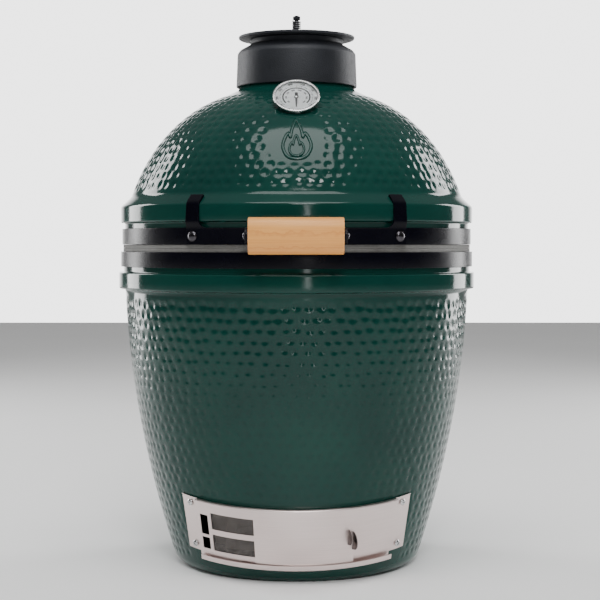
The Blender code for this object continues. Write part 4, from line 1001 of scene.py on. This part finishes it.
def makeSmallScrews():
    size = bolts["smallHead"]
    for label, side in pairSides:
        low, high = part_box(f"handle_screw_{label}")
        start = (low.x if side < 0 else high.x) - side * size[1]
        bm = placed(screwHead(size, 0.002, 0.019), moved(start, gripY, gripZ) @ turned(90 * side, "Y"))
        newPiece(f"grip_screw_{label}", bm, boltPaintedReflection, "dome", [f"handle_screw_{label}"], "bright_zinc")
    for label, side in pairSides:
        for level, spot in draft["screwHeights"].items():
            azimuth = side * draft["screwAzimuth"]
            place = draftFrame @ radialFrame(azimuth, draftBack(spot) + draft["screwSeat"], spot)
            bm = placed(screwHead(size, 0.002, 0.015), place @ turned(20 + 37 * side + 900 * spot))
            newPiece(f"frame_screw_{level}_{label}", bm, zinc, "base", [f"draft_screw_{level}_{label}"])


# handle

handle = {
    "earInner": 0.0556, "earThick": 0.0035, "plate": 0.0028, "hookWidth": 0.0185, "fillet": 0.0095,
    "round": 0.0125, "endRound": 0.0012,
}


def makeGrip():
    bm = boxPart(gripLow, gripHigh)
    length = gripHigh.x - gripLow.x
    ease(bm, [edge for edge in bm.edges if span(edge, 0) > length / 2], handle["round"], 10)
    bmesh.ops.recalc_face_normals(bm, faces=bm.faces)
    rims = [edge for face in bm.faces if abs(face.normal.x) > 0.9 for edge in face.edges]
    ease(bm, rims, handle["endRound"], 3)
    newPiece("wooden_grip", bm, beech, "dome", ["handle_grip"], angle=50)


def hookOutline():
    ring = upperRim + shell["upperRingProud"]
    ringBottom = upperSeatZ + shell["upperGroove"]
    ringTop = ringBottom + shell["ringHeight"]
    lean = math.atan2(shell["shoulderRise"], shell["shoulderInset"])
    out, up = paintGap * math.sin(lean), paintGap * math.cos(lean)
    chamfer = 0.0013
    tip = (ring - chamfer - shell["shoulderInset"] + out, ringTop + shell["shoulderRise"] + up)
    outer = upperBandHigh.x
    return [
        tip, (ring - chamfer + out, ringTop + up), (ring + paintGap, ringTop - chamfer + paintGap),
        (ring + paintGap, ringBottom - paintGap), (outer + paintGap, upperBandHigh.z),
        (outer + paintGap, upperSeatZ + slip),
    ]


def bracketBar(side):
    # the bar round the band, notched beside the hook that stands up from it
    outer, plate = upperBandHigh.x, handle["plate"]
    ring = upperRim + shell["upperRingProud"]
    ringBottom = upperSeatZ + shell["upperGroove"]
    inner = math.degrees(math.asin((handle["earInner"] + handle["earThick"] * 2 / 3) / outer))
    reach = bolts["hookAzimuth"] + math.degrees(handle["hookWidth"] / 2 / ring)
    arc = (inner, reach) if side > 0 else (-reach, -inner)
    back = filleted(hookOutline(), 0.0012, 3)
    face = (back[-1][0] + plate, back[-1][1])
    lean = math.atan2(shell["shoulderRise"], shell["shoulderInset"])
    tip = (back[0][0] + plate * math.sin(lean), back[0][1] + plate * math.cos(lean))
    front = filleted([tip, (back[2][0] + plate, back[2][1] + plate * 0.55), face], 0.004)[:-1]
    front += filleted([front[-1], (ring + paintGap + plate, ringBottom - paintGap),
                       (outer + paintGap + plate, upperBandHigh.z), face], 0.0025)[1:]
    bm = closeEnds(spun(list(reversed(back)) + front, 40, closed=True, arc=arc))
    edge = -handle["hookWidth"] / 2 * side
    far = edge - side * outer / 2
    top = upperBandHigh.z
    corner = (edge - side * handle["fillet"], top + handle["fillet"])
    start, end = (-90, 0) if side > 0 else (-90, -180)
    outline = [(far, top), *arcPoints(corner, handle["fillet"], start, end, 9)]
    outline += [(edge, top + 0.08), (far, top + 0.08)]
    turn = turned(bolts["hookAzimuth"] * side)
    return carve(bm, [plateFrom(outline, outer / 4, turn @ moved(0, -outer, 0) @ turned(90, "X"))])


def makeBrackets():
    inner, thick = handle["earInner"], handle["earThick"]
    low, high = upperSeatZ + slip, upperBandHigh.z - slip
    foot = -math.sqrt(upperBandHigh.x**2 - inner**2) - handle["plate"] / 3
    nose = arcPoints((gripY, gripZ), (high - low) / 2, 90, 270, 17)
    for label, side in pairSides:
        bar = bracketBar(side)
        place = uprightAt(side * (inner + thick / 2))
        ear = plateFrom([(foot, low), (foot, high), *nose], thick, place, 0.0005)
        name, node = f"hook_bracket_{label}", f"handle_bracket_{label}"
        newPiece(name, joined([bar, ear]), enamel, "dome", [node], angle=30)


makeBands()
makeFelts()
makeBandBolts()
makeSmallScrews()
makeGrip()
makeBrackets()
print("bands and handle made")


# dial thermometer, in its own frame: the face is level at Z 0 and its own +Y points up the dome

gauge = {
    "dial": 0.0270, "bezel": 0.02925, "depth": 0.0050, "dialTop": -0.0041, "needleLevel": -0.0036,
    "stem": 0.0024, "stemLength": 0.078, "turn": 14.916, "drop": 0.0306, "standoff": 0.0118,
    "arc": 0.0166, "marks": 0.0209, "ink": 0.00006, "firstAngle": 222.0, "lastAngle": -42.0,
}


def gaugeFrameNow():
    enters = crownZ - gauge["drop"]
    out, step = gauge["standoff"], gauge["standoff"] / 10
    narrowing = domeRadius(enters - step) - domeRadius(enters + step)
    tilt = math.atan2(2 * step, narrowing) + math.radians(gauge["turn"])
    place = moved(0, -domeRadius(enters) - out * math.sin(tilt), enters + out * math.cos(tilt))
    return place @ Matrix.Rotation(tilt, 4, "X")


gaugeFrame = gaugeFrameNow()


def gaugePiece(name, bm, material, nodes=(), body="dome", **more):
    newPiece(name, placed(bm, gaugeFrame), material, body, nodes, **more)


def makeGaugeCase():
    dial, bezel, depth = gauge["dial"], gauge["bezel"], gauge["depth"]
    inside, back = dial + slip, -depth - 0.0014
    outline = [
        (0.0, -depth), (inside, -depth), (inside, -0.0010), (inside - 0.0010, -0.0007),
        (inside - 0.0011, 0.0), (bezel - 0.0003, 0.0), (bezel, -0.0022), (bezel - 0.0005, -0.0029),
        (bezel - 0.0009, -0.0047), (bezel * 0.81, back), (0.0, back),
    ]
    gaugePiece("gauge_case", spun(filleted(outline, 0.0006), 120), zinc, ["thermometer_case"], angle=40)
    lens = [(0.0, -0.0024), (dial, -0.0024), (dial, -0.0015), (0.018, -0.00125), (0.0, -0.0012)]
    gaugePiece("gauge_lens", spun(lens, 96), glass, ["thermometer_lens"], angle=50)
    radius, top = gauge["stem"], back - slip
    tip = top - gauge["stemLength"]
    stem = [(0.0, top), (radius, top), (radius, tip + 0.004), (radius * 0.5, tip + 0.0006), (0.0, tip)]
    gaugePiece("gauge_stem", spun(filleted(stem, 0.0008), 28), zinc, ["thermometer_stem"])


def dialBar(angle, inner, width):
    top = gauge["dialTop"]
    bm = boxPart((inner, -width / 2, top), (gauge["marks"], width / 2, top + gauge["ink"]))
    return placed(bm, turned(angle))


def dialNumber(number, angle, radius, size):
    curve = bpy.data.curves.new("number", "FONT")
    curve.body = str(number)
    curve.size = size
    curve.align_x = curve.align_y = "CENTER"
    curve.extrude = gauge["ink"] / 2
    curve.offset = size * 0.035
    holder = linked("number", curve)
    bpy.context.view_layer.update()
    letters = bpy.data.meshes.new_from_object(holder.evaluated_get(bpy.context.evaluated_depsgraph_get()))
    bm = bmesh.new()
    bm.from_mesh(letters)
    bpy.data.objects.remove(holder, do_unlink=True)
    bpy.data.curves.remove(curve)
    bpy.data.meshes.remove(letters)
    # the level leaves the print's foot just clear of the dial
    x, y = arcPoints((0, 0), radius, angle, angle, 2)[0]
    return placed(bm, moved(x, y, gauge["dialTop"] + 0.00004) @ turned(angle - 90))


def makeDial():
    top, edge, ink = gauge["dialTop"], gauge["dial"], gauge["ink"]
    face = [(0.0, top), (edge - 0.0002, top), (edge, top - 0.0002), (edge, top - 0.0006), (0.0, top - 0.0006)]
    gaugePiece("gauge_dial", spun(face, 96), dialWhite, ["thermometer_dial"])
    first, sweep = gauge["firstAngle"], gauge["lastAngle"] - gauge["firstAngle"]
    marks = []
    for index in range(71):
        inner, width = (0.0199, 0.00032) if index % 5 else (0.0192, 0.00060)
        marks.append(dialBar(first + sweep * index / 70, inner, width))
    for index in range(8):
        angle = first + sweep * index / 7
        marks.append(dialNumber(100 + 100 * index, angle, 0.0236, 0.0040))
        marks.append(dialNumber(50 + 50 * index, angle, 0.0126, 0.0031))
    gaugePiece("gauge_marks", joined(marks), needleBlack, slotName="needle_black", smooth=False)
    inner, outer = gauge["arc"] - 0.0009, gauge["arc"] + 0.0009
    band = [(inner, top), (outer, top), (outer, top + ink), (inner, top + ink)]
    band = placed(closeEnds(spun(band, 90, closed=True, arc=(-130, 130))), turned(180))
    gaugePiece("gauge_arc", band, arcGrey, slotName="needle_black", smooth=False)


def makeNeedle():
    level = gauge["needleLevel"]
    hub, tail, tip = 0.0028, 0.0080, 0.0185
    outline = [
        (-0.0019, tail - 0.0008), *arcPoints((0, 0), hub, 130, 245, 9), (-0.0014, -0.0042), (-0.0007, -tip),
        (0.0007, -tip), (0.0014, -0.0042), *arcPoints((0, 0), hub, -65, 50, 9), (0.0019, tail - 0.0008),
        (0.0012, tail), (-0.0012, tail),
    ]
    pointer = plateFrom(outline, 0.0004, moved(0, 0, level), 0.00008, 1)
    gaugePiece("gauge_needle", pointer, needleBlack, ["thermometer_needle"], "needle")
    cap = [(0.0, level + 0.0011), (0.0017, level + 0.0009), (0.0021, level + 0.0002), (0.0, level + 0.0002)]
    gaugePiece("gauge_hub", spun(filleted(cap, 0.0003), 32), zinc, (), "needle", slotName="bright_zinc")


# cast-iron top, damper and its spring

iron = {
    "height": 0.0435, "taper": 0.0017, "shoulder": 0.0045, "wall": 0.0034, "top": 0.061, "topWall": 0.0035,
    "topThick": 0.004, "petals": 5, "petalIn": 0.019, "petalOut": 0.050, "petalArc": 32.0,
    "pivot": 0.0029, "bore": 0.0032, "disc": 0.0036, "hub": 0.0062, "hubHeight": 0.0080,
}


def petalCutters(low, high):
    cutters = []
    arc = iron["petalArc"]
    for index in range(iron["petals"]):
        bm = bmesh.new()
        ends = [bm.verts.new((0, -r, low)) for r in (iron["petalIn"], iron["petalOut"])]
        edge = bm.edges.new(ends)
        placed(bm, turned(360 / iron["petals"] * index - arc / 2))
        bmesh.ops.spin(
            bm, geom=ends + [edge], cent=(0, 0, 0), axis=(0, 0, 1), angle=math.radians(arc), steps=10
        )
        lift(bm, bm.faces[:], high - low)
        tall = [edge for edge in bm.edges if span(edge, 2) > (high - low) / 2]
        ease(bm, [edge for edge in tall if edge.calc_face_angle(0) > 0.5], 0.0035, 4)
        cutters.append(bm)
    return cutters


def makeCap():
    radius, low, high = capHigh.x, capLow.z, capHigh.z
    knee = low + iron["height"]
    upper = radius - iron["taper"]
    top, under = iron["top"], high - iron["topThick"]
    inside, throat = radius - iron["wall"], top - iron["topWall"]
    ledge = neckTop + slip
    rest = shell["neck"] - iron["wall"] / 2
    outside = filleted([
        (0.0, high), (top, high), (top, knee + (under - knee) * 0.8),
        (upper - iron["wall"], knee + iron["shoulder"]), (upper, knee), (radius, low), (inside, low),
        (inside, ledge), (rest, ledge), (rest, knee), (throat, knee + (under - knee) * 0.6),
        (throat, under), (0.0, under),
    ], 0.0016)
    bore = rod(iron["bore"], 0.03, 24, moved(0, 0, high))
    bm = carve(spun(outside, 192), petalCutters(under - 0.004, high + 0.004) + [bore])
    newPiece("iron_collar", bm, castIron, "chimney_top", ["regulator_collar"], angle=30)


def makeDamper():
    radius, low, top = discHigh.x, discLow.z, discHigh.z
    face = low + iron["disc"]
    hub, bore = iron["hub"], iron["bore"]
    outline = filleted([
        (hub, top), (hub * 1.12, face + iron["hubHeight"] * 0.45), (hub * 2, face), (radius - 0.0105, face),
        (radius - 0.0085, face - 0.0009), (radius - 0.0050, face - 0.0009), (radius - 0.0040, face),
        (radius - 0.0004, face), (radius, face - 0.0006), (radius, low + 0.0012), (radius - 0.0012, low),
        (bore, low),
    ], 0.0008, 3)
    bm = carve(spun(outline + [(bore, top)], 192, closed=True), petalCutters(low - 0.004, face + 0.004))
    newPiece("iron_disc", bm, castIron, "damper", ["damper_disc"], angle=30)


def makePivot():
    boltLow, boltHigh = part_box("pivot_bolt")
    nutLow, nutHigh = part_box("damper_nut")
    springLow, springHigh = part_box("damper_spring")
    radius, neck, tip = iron["pivot"], boltLow.z + 0.004, boltHigh.z
    shank = spun(filleted([
        (0.0, tip), (radius * 0.72, tip - 0.0002), (radius, tip - 0.0009), (radius, neck), (0.0055, neck),
        (0.0055, boltLow.z), (0.0, boltLow.z),
    ], 0.0004), 32)
    thread = placed(coil(radius - 0.00012, 0.00018, 2, 0.0012, 20, 6), moved(0, 0, tip - 0.0017))
    newPiece("pivot_screw", joined([shank, thread]), castIron, "chimney_top", ["pivot_bolt"])
    nut = hexNut(0.0056, nutHigh.z - nutLow.z, iron["bore"])
    nut = placed(nut, moved(0, 0, (nutLow.z + nutHigh.z) / 2))
    newPiece("pivot_nut", nut, castIron, "chimney_top", ["damper_nut"], angle=25)
    wire = 0.00095
    rise = (springHigh.z - springLow.z - 2 * wire) * 0.96
    winding = coil(springHigh.x - wire, wire, 4.5, rise, 28, 10)
    winding = placed(winding, moved(0, 0, springLow.z + wire * 1.1))
    newPiece("pressure_spring", winding, springSteel, "chimney_top", ["damper_spring"])


def makeChimneySeal():
    low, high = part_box("chimney_seal")
    inner = shell["neck"] + slip
    outline = [(inner, low.z), (high.x, low.z + 0.0006), (high.x, high.z - 0.0006), (inner, high.z)]
    newPiece("chimney_gasket", spun(outline, 120, closed=True), rubber, "chimney_top", ["chimney_seal"])


makeGaugeCase()
makeDial()
makeNeedle()
makeCap()
makeDamper()
makePivot()
makeChimneySeal()
print("thermometer and chimney top made")


# draft door: thin sheets on the leaning cone

plates = {
    "railFoot": -0.0315, "railHead": 0.0301, "doorHalf": 0.0391, "doorLayer": 0.0037, "doorSheet": 0.0011,
    "doorSpan": (-16.0, 22.4), "screenSpan": (-41.2, -3.0), "screenLayer": 0.0024, "screenSheet": 0.0009,
    "windowSpan": (-34.1, -6.0), "windowHalf": 0.0254, "crossbar": 0.0074, "slotSpan": (-39.4, -35.7),
    "slotHeights": ((-0.025, -0.0095), (-0.0055, 0.0211)), "tabAzimuth": 21.9, "tabSpan": (-0.0175, 0.0095),
    "tabRound": 0.011, "cell": 1.0,
}
weave = {
    "layer": 0.0019, "pitch": 0.00155, "wide": 0.00046, "thick": 0.00019, "swing": 0.0001, "lap": 0.5,
    "halfHeight": 0.0270,
}


def onCone(azimuth, height, offset):
    turn = math.radians(azimuth)
    radius = draftBack(height) + offset
    return draftFrame @ Vector((radius * math.sin(turn), -radius * math.cos(turn), height))


def between(low, high, step, extra=()):
    # evenly spaced stations that also stop at every extra one
    count = max(1, round((high - low) / step))
    stations = [low + (high - low) * index / count for index in range(count + 1)]
    wanted = [value for value in extra if low < value < high]
    kept = [value for value in stations if all(abs(value - other) > step * 0.3 for other in wanted)]
    return sorted(kept + wanted)


def sheetSolid(azimuths, profile, thickness, keep):
    # a folded sheet with openings: the profile holds (offset, height) of its outer face
    normals = []
    for index in range(len(profile)):
        before, after = profile[max(index - 1, 0)], profile[min(index + 1, len(profile) - 1)]
        along = (Vector(after) - Vector(before)).normalized()
        normals.append(Vector((-along.y, along.x)))
    bm = bmesh.new()
    outer, inner = [], []
    for azimuth in azimuths:
        outer.append([bm.verts.new(onCone(azimuth, height, offset)) for offset, height in profile])
        inner.append([
            bm.verts.new(onCone(azimuth, height + push.y * thickness, offset + push.x * thickness))
            for (offset, height), push in zip(profile, normals)
        ])
    columns, rows = len(azimuths) - 1, len(profile) - 1

    def kept(column, row):
        if not (0 <= column < columns and 0 <= row < rows):
            return False
        first, second = profile[row], profile[row + 1]
        azimuth = (azimuths[column] + azimuths[column + 1]) / 2
        return keep(azimuth, (first[1] + second[1]) / 2, (first[0] + second[0]) / 2)

    beside = ((-1, 0, 0, 3), (1, 0, 1, 2), (0, -1, 0, 1), (0, 1, 3, 2))
    for column in range(columns):
        for row in range(rows):
            if not kept(column, row):
                continue
            over, under = (
                [skin[column + x][row + y] for x, y in ((0, 0), (1, 0), (1, 1), (0, 1))]
                for skin in (outer, inner)
            )
            bm.faces.new(over)
            bm.faces.new(under)
            for x, y, first, second in beside:
                if not kept(column + x, row + y):
                    bm.faces.new([over[first], over[second], under[second], under[first]])
    bmesh.ops.delete(bm, geom=[v for v in bm.verts if not v.link_faces], context="VERTS")
    return bm


def noteSheet(bm):
    # the distance along the sheet, so that brushing follows its bend
    layer = bm.verts.layers.float_vector.new("sheet")
    for vert in bm.verts:
        azimuth, height, radius = onRoll(vert.co)
        vert[layer] = Vector((math.radians(azimuth) * radius, height, radius - draftBack(height)))
    return bm


def makeDraftFrame():
    top, front, lip = draft["half"], draft["channel"] + 2 * draft["sheet"], draft["lip"]
    half, rail, (low, high) = draft["openingHalf"], draft["rail"], draft["opening"]
    upper = filleted([(front, top - lip), (front, top), (0.0, top), (0.0, 0.0)], 0.0021)[:-1]
    stops = (half, -half, plates["railHead"], plates["railFoot"], -plates["railFoot"])
    middle = [(0.0, h) for h in reversed(between(-top + 0.003, top - 0.003, 0.004, stops))]
    lower = [(offset, -height) for offset, height in reversed(upper)]
    profile = upper + middle + lower
    azimuths = between(-draft["arc"], draft["arc"], plates["cell"], (low, high, rail, -rail))

    def keep(azimuth, height, offset):
        if low < azimuth < high and abs(height) < half and offset < draft["sheet"]:
            return False
        if abs(azimuth) < rail:
            return True
        return height > plates["railFoot"] and (height < plates["railHead"] or offset < 2 * draft["sheet"])

    bm = sheetSolid(azimuths, profile, draft["sheet"], keep)
    cutters = []
    for side in (-1, 1):
        for height in draft["screwHeights"].values():
            place = draftFrame @ radialFrame(side * draft["screwAzimuth"], draftBack(height), height)
            cutters.append(rod(0.0024, 0.01, 20, place))
    newPiece("steel_frame", noteSheet(carve(bm, cutters)), stainless, "base", ["draft_frame"], angle=40)


def makeDoor():
    layer, sheet, half = plates["doorLayer"], plates["doorSheet"], plates["doorHalf"]
    profile = [(layer + sheet, height) for height in reversed(between(-half, half, 0.004))]
    azimuths = between(*plates["doorSpan"], plates["cell"])
    bm = sheetSolid(azimuths, profile, -sheet, lambda *spot: True)
    leaves = []
    foot = draftBack(0) + layer
    # the first leaf is the tab; the second, smaller leaf is a painted shadow, a dark fin standing where the
    # tab's shadow falls
    for aside, shift, share in ((0.0, 0.0, 1.0), (-1.9, 0.0052, 0.86)):
        centre = sum(plates["tabSpan"]) / 2 + shift
        reach = plates["tabRound"] * share
        outline = [(foot + draft["cone"] * (centre - reach), centre - reach * 1.15)]
        outline += arcPoints((foot + sheet * 2.5, centre), reach, -62, 62, 12)
        outline += [(foot + draft["cone"] * (centre + reach), centre + reach * 1.15)]
        turn = turned(plates["tabAzimuth"] + aside - 90) @ turned(90, "X")
        leaves.append(plateFrom(outline, 0.0011, draftFrame @ turn, 0.0003))
    newPiece("steel_door", noteSheet(bm), stainless, "draft_door", ["draft_door"], angle=40)
    newPiece("door_tab", joined(leaves), tabPaintedReflection, "draft_door", slotName="stainless", angle=40)


def makeScreen():
    half, bar, edge = plates["windowHalf"], plates["crossbar"] / 2, plates["doorHalf"]
    holes = [(*plates["windowSpan"], *tall) for tall in ((-half, -bar), (bar, half))]
    holes += [(*plates["slotSpan"], *tall) for tall in plates["slotHeights"]]
    stops = sorted({value for hole in holes for value in hole[:2]})
    azimuths = between(*plates["screenSpan"], plates["cell"], stops)
    layer = plates["screenLayer"] + plates["screenSheet"]
    heights = [-edge, *sorted({value for hole in holes for value in hole[2:]}), edge]
    profile = [(layer, height) for height in reversed(heights)]

    def keep(azimuth, height, offset):
        return not any(a < azimuth < b and c < height < d for a, b, c, d in holes)

    bm = sheetSolid(azimuths, profile, -plates["screenSheet"], keep)
    newPiece("steel_screen", noteSheet(bm), stainless, "ash_screen", ["screen_frame"], angle=40)


def wireAlong(bm, stations, across):
    # a flattened wire through the stations, its width along the across vector
    rings = []
    for index, place in enumerate(stations):
        ahead = stations[min(index + 1, len(stations) - 1)] - stations[max(index - 1, 0)]
        outward = across.cross(ahead).normalized()
        half, deep = across * weave["wide"] / 2, outward * weave["thick"] / 2
        rings.append([bm.verts.new(place + move) for move in (half, deep, -half, -deep)])
    skinRings(bm, rings)


def makeWeave():
    low, high = plates["windowSpan"]
    low, high, foot = low - weave["lap"], high + weave["lap"], -weave["halfHeight"]
    pitch = weave["pitch"]
    step = math.degrees(pitch / (draftBack(0) + weave["layer"]))
    columns, rows = int((high - low) / step), int(-2 * foot / pitch)
    own = draftFrame.to_3x3()
    bm = bmesh.new()

    def swing(half, odd):
        # over one wire and under the next
        return weave["layer"] + (0 if half % 2 else (-1) ** (half // 2 + odd)) * weave["swing"]

    for column in range(columns + 1):
        azimuth = low + step * column
        turn = math.radians(azimuth)
        places = [
            onCone(azimuth, foot + half * pitch / 2, swing(half, column)) for half in range(2 * rows + 1)
        ]
        wireAlong(bm, places, (own @ Vector((math.cos(turn), math.sin(turn), 0))).normalized())
    for row in range(rows + 1):
        height = foot + row * pitch
        places = [
            onCone(low + half * step / 2, height, swing(half, row + 1)) for half in range(2 * columns + 1)
        ]
        wireAlong(bm, places, (own @ Vector((0, 0, 1))).normalized())
    newPiece("woven_wire", bm, screenWire, "ash_screen", ["screen_mesh"], angle=60)


makeDraftFrame()
makeDoor()
makeScreen()
makeWeave()
print("draft door made")


# cooking grid

grid = {"rod": 0.0024, "rim": 0.0029, "pitch": 0.017, "rods": 20}


def makeGrid():
    low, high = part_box("cooking_grid")
    level, reach = (low.z + high.z) / 2, high.x - grid["rim"]
    ring = arcPoints((reach, level), grid["rim"], 0, 342, 20)
    parts = [spun(ring, 180, closed=True)]
    for index in range(grid["rods"]):
        x = (index - (grid["rods"] - 1) / 2) * grid["pitch"]
        y = math.sqrt(reach**2 - x * x)
        parts.append(tube((x, -y, level), (x, y, level), grid["rod"], 14))
    parts.append(tube((-reach, 0, level - 0.0002), (reach, 0, level - 0.0002), grid["rod"] * 1.1, 14))
    newPiece("wire_grid", joined(parts), gridWire, "cooking_grid", ["cooking_grid"], angle=50)


makeGrid()


# rear hinge

hinge = {
    "pin": 0.004, "play": 0.0003, "boss": 0.009, "ear": 0.0035, "lowerEar": 0.040, "upperEar": 0.0355,
    "plate": 0.003, "margin": 0.0048, "wire": 0.0014, "turns": 4 + 1 / 6, "span": (0.0050, 0.0265),
    "coil": 0.0091, "leg": (0.0144, 0.0084), "spacer": 0.0065,
}


def makeHingeHalf(level, body, bandLow, bandHigh, earX):
    low, high = bandLow.z + slip, bandHigh.z - slip
    back, plate, thick = bandHigh.x + slip, hinge["plate"], hinge["ear"]
    reach = math.degrees(math.asin((hinge["lowerEar"] + hinge["margin"]) / back))
    profile = [(back, low), (back + plate, low), (back + plate, high), (back, high)]
    leaf = closeEnds(spun(profile, 24, closed=True, arc=(180 - reach, 180 + reach)))
    bmesh.ops.recalc_face_normals(leaf, faces=leaf.faces)
    ease(leaf, [edge for edge in leaf.edges if edge.calc_face_angle(0) > 1.0], 0.0004)
    parts = [leaf]
    foot = math.sqrt((back + plate * 0.35) ** 2 - earX**2)
    start, end = (-60, 130) if low < pinZ else (-130, 60)
    outline = [(foot, low), *arcPoints((pinY, pinZ), hinge["boss"], start, end, 24), (foot, high)]
    for side in (-1, 1):
        middle = side * (earX - thick / 2)
        ear = plateFrom(outline, thick, uprightAt(middle), 0.0005)
        bore = rod(hinge["pin"] + hinge["play"], 0.01, 32, moved(middle, pinY, pinZ) @ turned(90, "Y"))
        parts.append(carve(ear, [bore]))
    newPiece(f"hinge_{level}_half", joined(parts), enamel, body, [f"{level}_hinge_bracket"])


def makePin():
    low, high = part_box("hinge_bolt")
    nutLow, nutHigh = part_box("hinge_nut")
    radius, seat, collar = hinge["pin"], hinge["lowerEar"] + slip, hinge["spacer"]
    along = moved(0, pinY, pinZ) @ turned(90, "Y")
    head = 0.0070
    profile = [(0.0, high.x), (head - 0.0008, high.x - 0.0006), (head, seat + 0.0010), (head, seat)]
    profile += [(radius, seat), (radius, low.x + 0.0010), (radius - 0.0009, low.x), (0.0, low.x)]
    shank = spun(filleted(profile, 0.0006), 40)
    thread = placed(coil(radius - 0.0002, 0.0002, 7, 0.0075, 20, 6), moved(0, 0, low.x + 0.0010))
    newPiece("hinge_pin", placed(joined([shank, thread]), along), zinc, "base", ["hinge_bolt"])
    nut = hexNut(0.0072, nutHigh.x - nutLow.x, radius + slip)
    nut = placed(nut, along @ moved(0, 0, (nutLow.x + nutHigh.x) / 2))
    newPiece("hinge_lock_nut", nut, zinc, "base", ["hinge_nut"], angle=25)
    half = hinge["upperEar"] - hinge["ear"] - slip
    inner = radius + hinge["play"]
    sleeve = spun([(inner, -half), (collar, -half), (collar, half), (inner, half)], 40, closed=True)
    newPiece("hinge_tube", placed(sleeve, along), zinc, "base", ["hinge_spacer"])


def makeTorsionSprings():
    start, end = hinge["span"]
    forward, aside = hinge["leg"]
    sides = 10
    count = int(hinge["turns"] * 28)
    for label, side in pairSides:
        centres = []
        for index in range(count + 1):
            share = index / count
            turn = -120 + 360 * hinge["turns"] * share
            y, z = arcPoints((pinY, pinZ), hinge["coil"], turn, turn, 2)[0]
            centres.append(Vector((side * (start + (end - start) * share), y, z)))
        first = centres[0] + Vector((0, -forward, aside)) * 0.995
        last = centres[-1] + Vector((0, -forward, -aside)) * 0.995
        centres = [first, centres[0].lerp(first, 0.5), *centres, centres[-1].lerp(last, 0.5), last]
        bm = bmesh.new()
        rings = []
        for index, centre in enumerate(centres):
            ahead = centres[min(index + 1, len(centres) - 1)] - centres[max(index - 1, 0)]
            ring = bmesh.ops.create_circle(bm, radius=hinge["wire"] * 0.97, segments=sides)["verts"]
            turn = ahead.to_track_quat("Z", "X").to_matrix().to_4x4()
            bmesh.ops.transform(bm, matrix=Matrix.Translation(centre) @ turn, verts=ring)
            rings.append(ring)
        skinRings(bm, rings)
        piece = newPiece(f"torsion_spring_{label}", bm, springSteel, None, [f"hinge_spring_{label}"])
        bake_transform(piece, "base", "dome", start=(side * end, pinY, pinZ), end=(side * start, pinY, pinZ))


for level, body, low, high in bandLevels:
    makeHingeHalf(level, body, low, high, hinge[f"{level}Ear"])
makePin()
makeTorsionSprings()
print("grid and hinge made")


# floor, light and camera

def makeFloor():
    bm = bmesh.new()
    bmesh.ops.create_grid(bm, x_segments=1, y_segments=1, size=6.0)
    floor = linked("floor", meshFrom(bm, "floor"))
    look = Finish("pale_floor", (0.86, 0.86, 0.85), 0.9)
    cloud = look.noise(look.objectCoordinates(), 1.5, 2.0)
    tone = look.ramp(cloud, [(0.3, (0.92, 0.92, 0.915)), (0.7, (0.94, 0.94, 0.935))])
    floor.data.materials.append(look.wear(colour=tone))


studio = {
    "front": 0.07, "sides": 0.13, "back": 3.4, "top": 0.45,
    "lamps": [
        # name, place, aim, width, height, power
        ("frontSoft", (0.25, -2.9, 2.3), (0, 0, 0.40), 0.8, 0.8, 46.0),
        ("frontStrip", (0.32, -2.8, 0.45), (0, 0, 0.15), 0.14, 0.8, 2.5),
        ("leftSoft", (-2.3, 1.6, 1.0), (0, 0, 0.35), 0.9, 2.2, 60.0),
        ("rightSoft", (2.3, 1.6, 1.0), (0, 0, 0.35), 0.9, 2.2, 60.0),
        ("topSoft", (0.0, -0.95, 2.8), (0, -0.1, 0.5), 1.9, 1.4, 44.0),
    ],
}


def aimed(name, data, place, aim):
    thing = linked(name, data)
    thing.location = place
    thing.rotation_euler = (Vector(aim) - Vector(place)).to_track_quat("-Z", "Y").to_euler()
    return thing


def makeStudio():
    scene.world = bpy.data.worlds.new("studio")
    scene.world.use_nodes = True
    recipe = Recipe(scene.world.node_tree)
    recipe.tree.nodes.clear()
    around = recipe.node("ShaderNodeTexCoord").outputs["Generated"]
    toward = recipe.node("ShaderNodeSeparateXYZ", {"Vector": around}).outputs
    front, sides, top, back = ((studio[name],) * 3 for name in ("front", "sides", "top", "back"))
    level = recipe.blend(recipe.remap(toward["Y"], -0.75, 0.10), front, sides)
    level = recipe.blend(recipe.remap(toward["Z"], 0.35, 0.95), level, top)
    level = recipe.blend(recipe.remap(toward["Y"], 0.86, 0.97), level, back)
    backdrop = recipe.node("ShaderNodeBackground", {"Color": level})
    recipe.node("ShaderNodeOutputWorld", {"Surface": backdrop.outputs["Background"]})
    for name, place, aim, width, height, power in studio["lamps"]:
        light = bpy.data.lights.new(name, "AREA")
        light.shape = "RECTANGLE"
        light.size, light.size_y, light.energy = width, height, power
        aimed(name, light, place, aim)


view = {"eye": (0.0045, -2.046, 0.4211), "aim": (0.0045, 0.0, 0.344), "lens": 92.4}


def makeCamera():
    lens = bpy.data.cameras.new("camera")
    lens.sensor_width = 36
    lens.lens = view["lens"]
    scene.camera = aimed("camera", lens, view["eye"], view["aim"])


makeFloor()
makeStudio()
makeCamera()
print("studio ready")
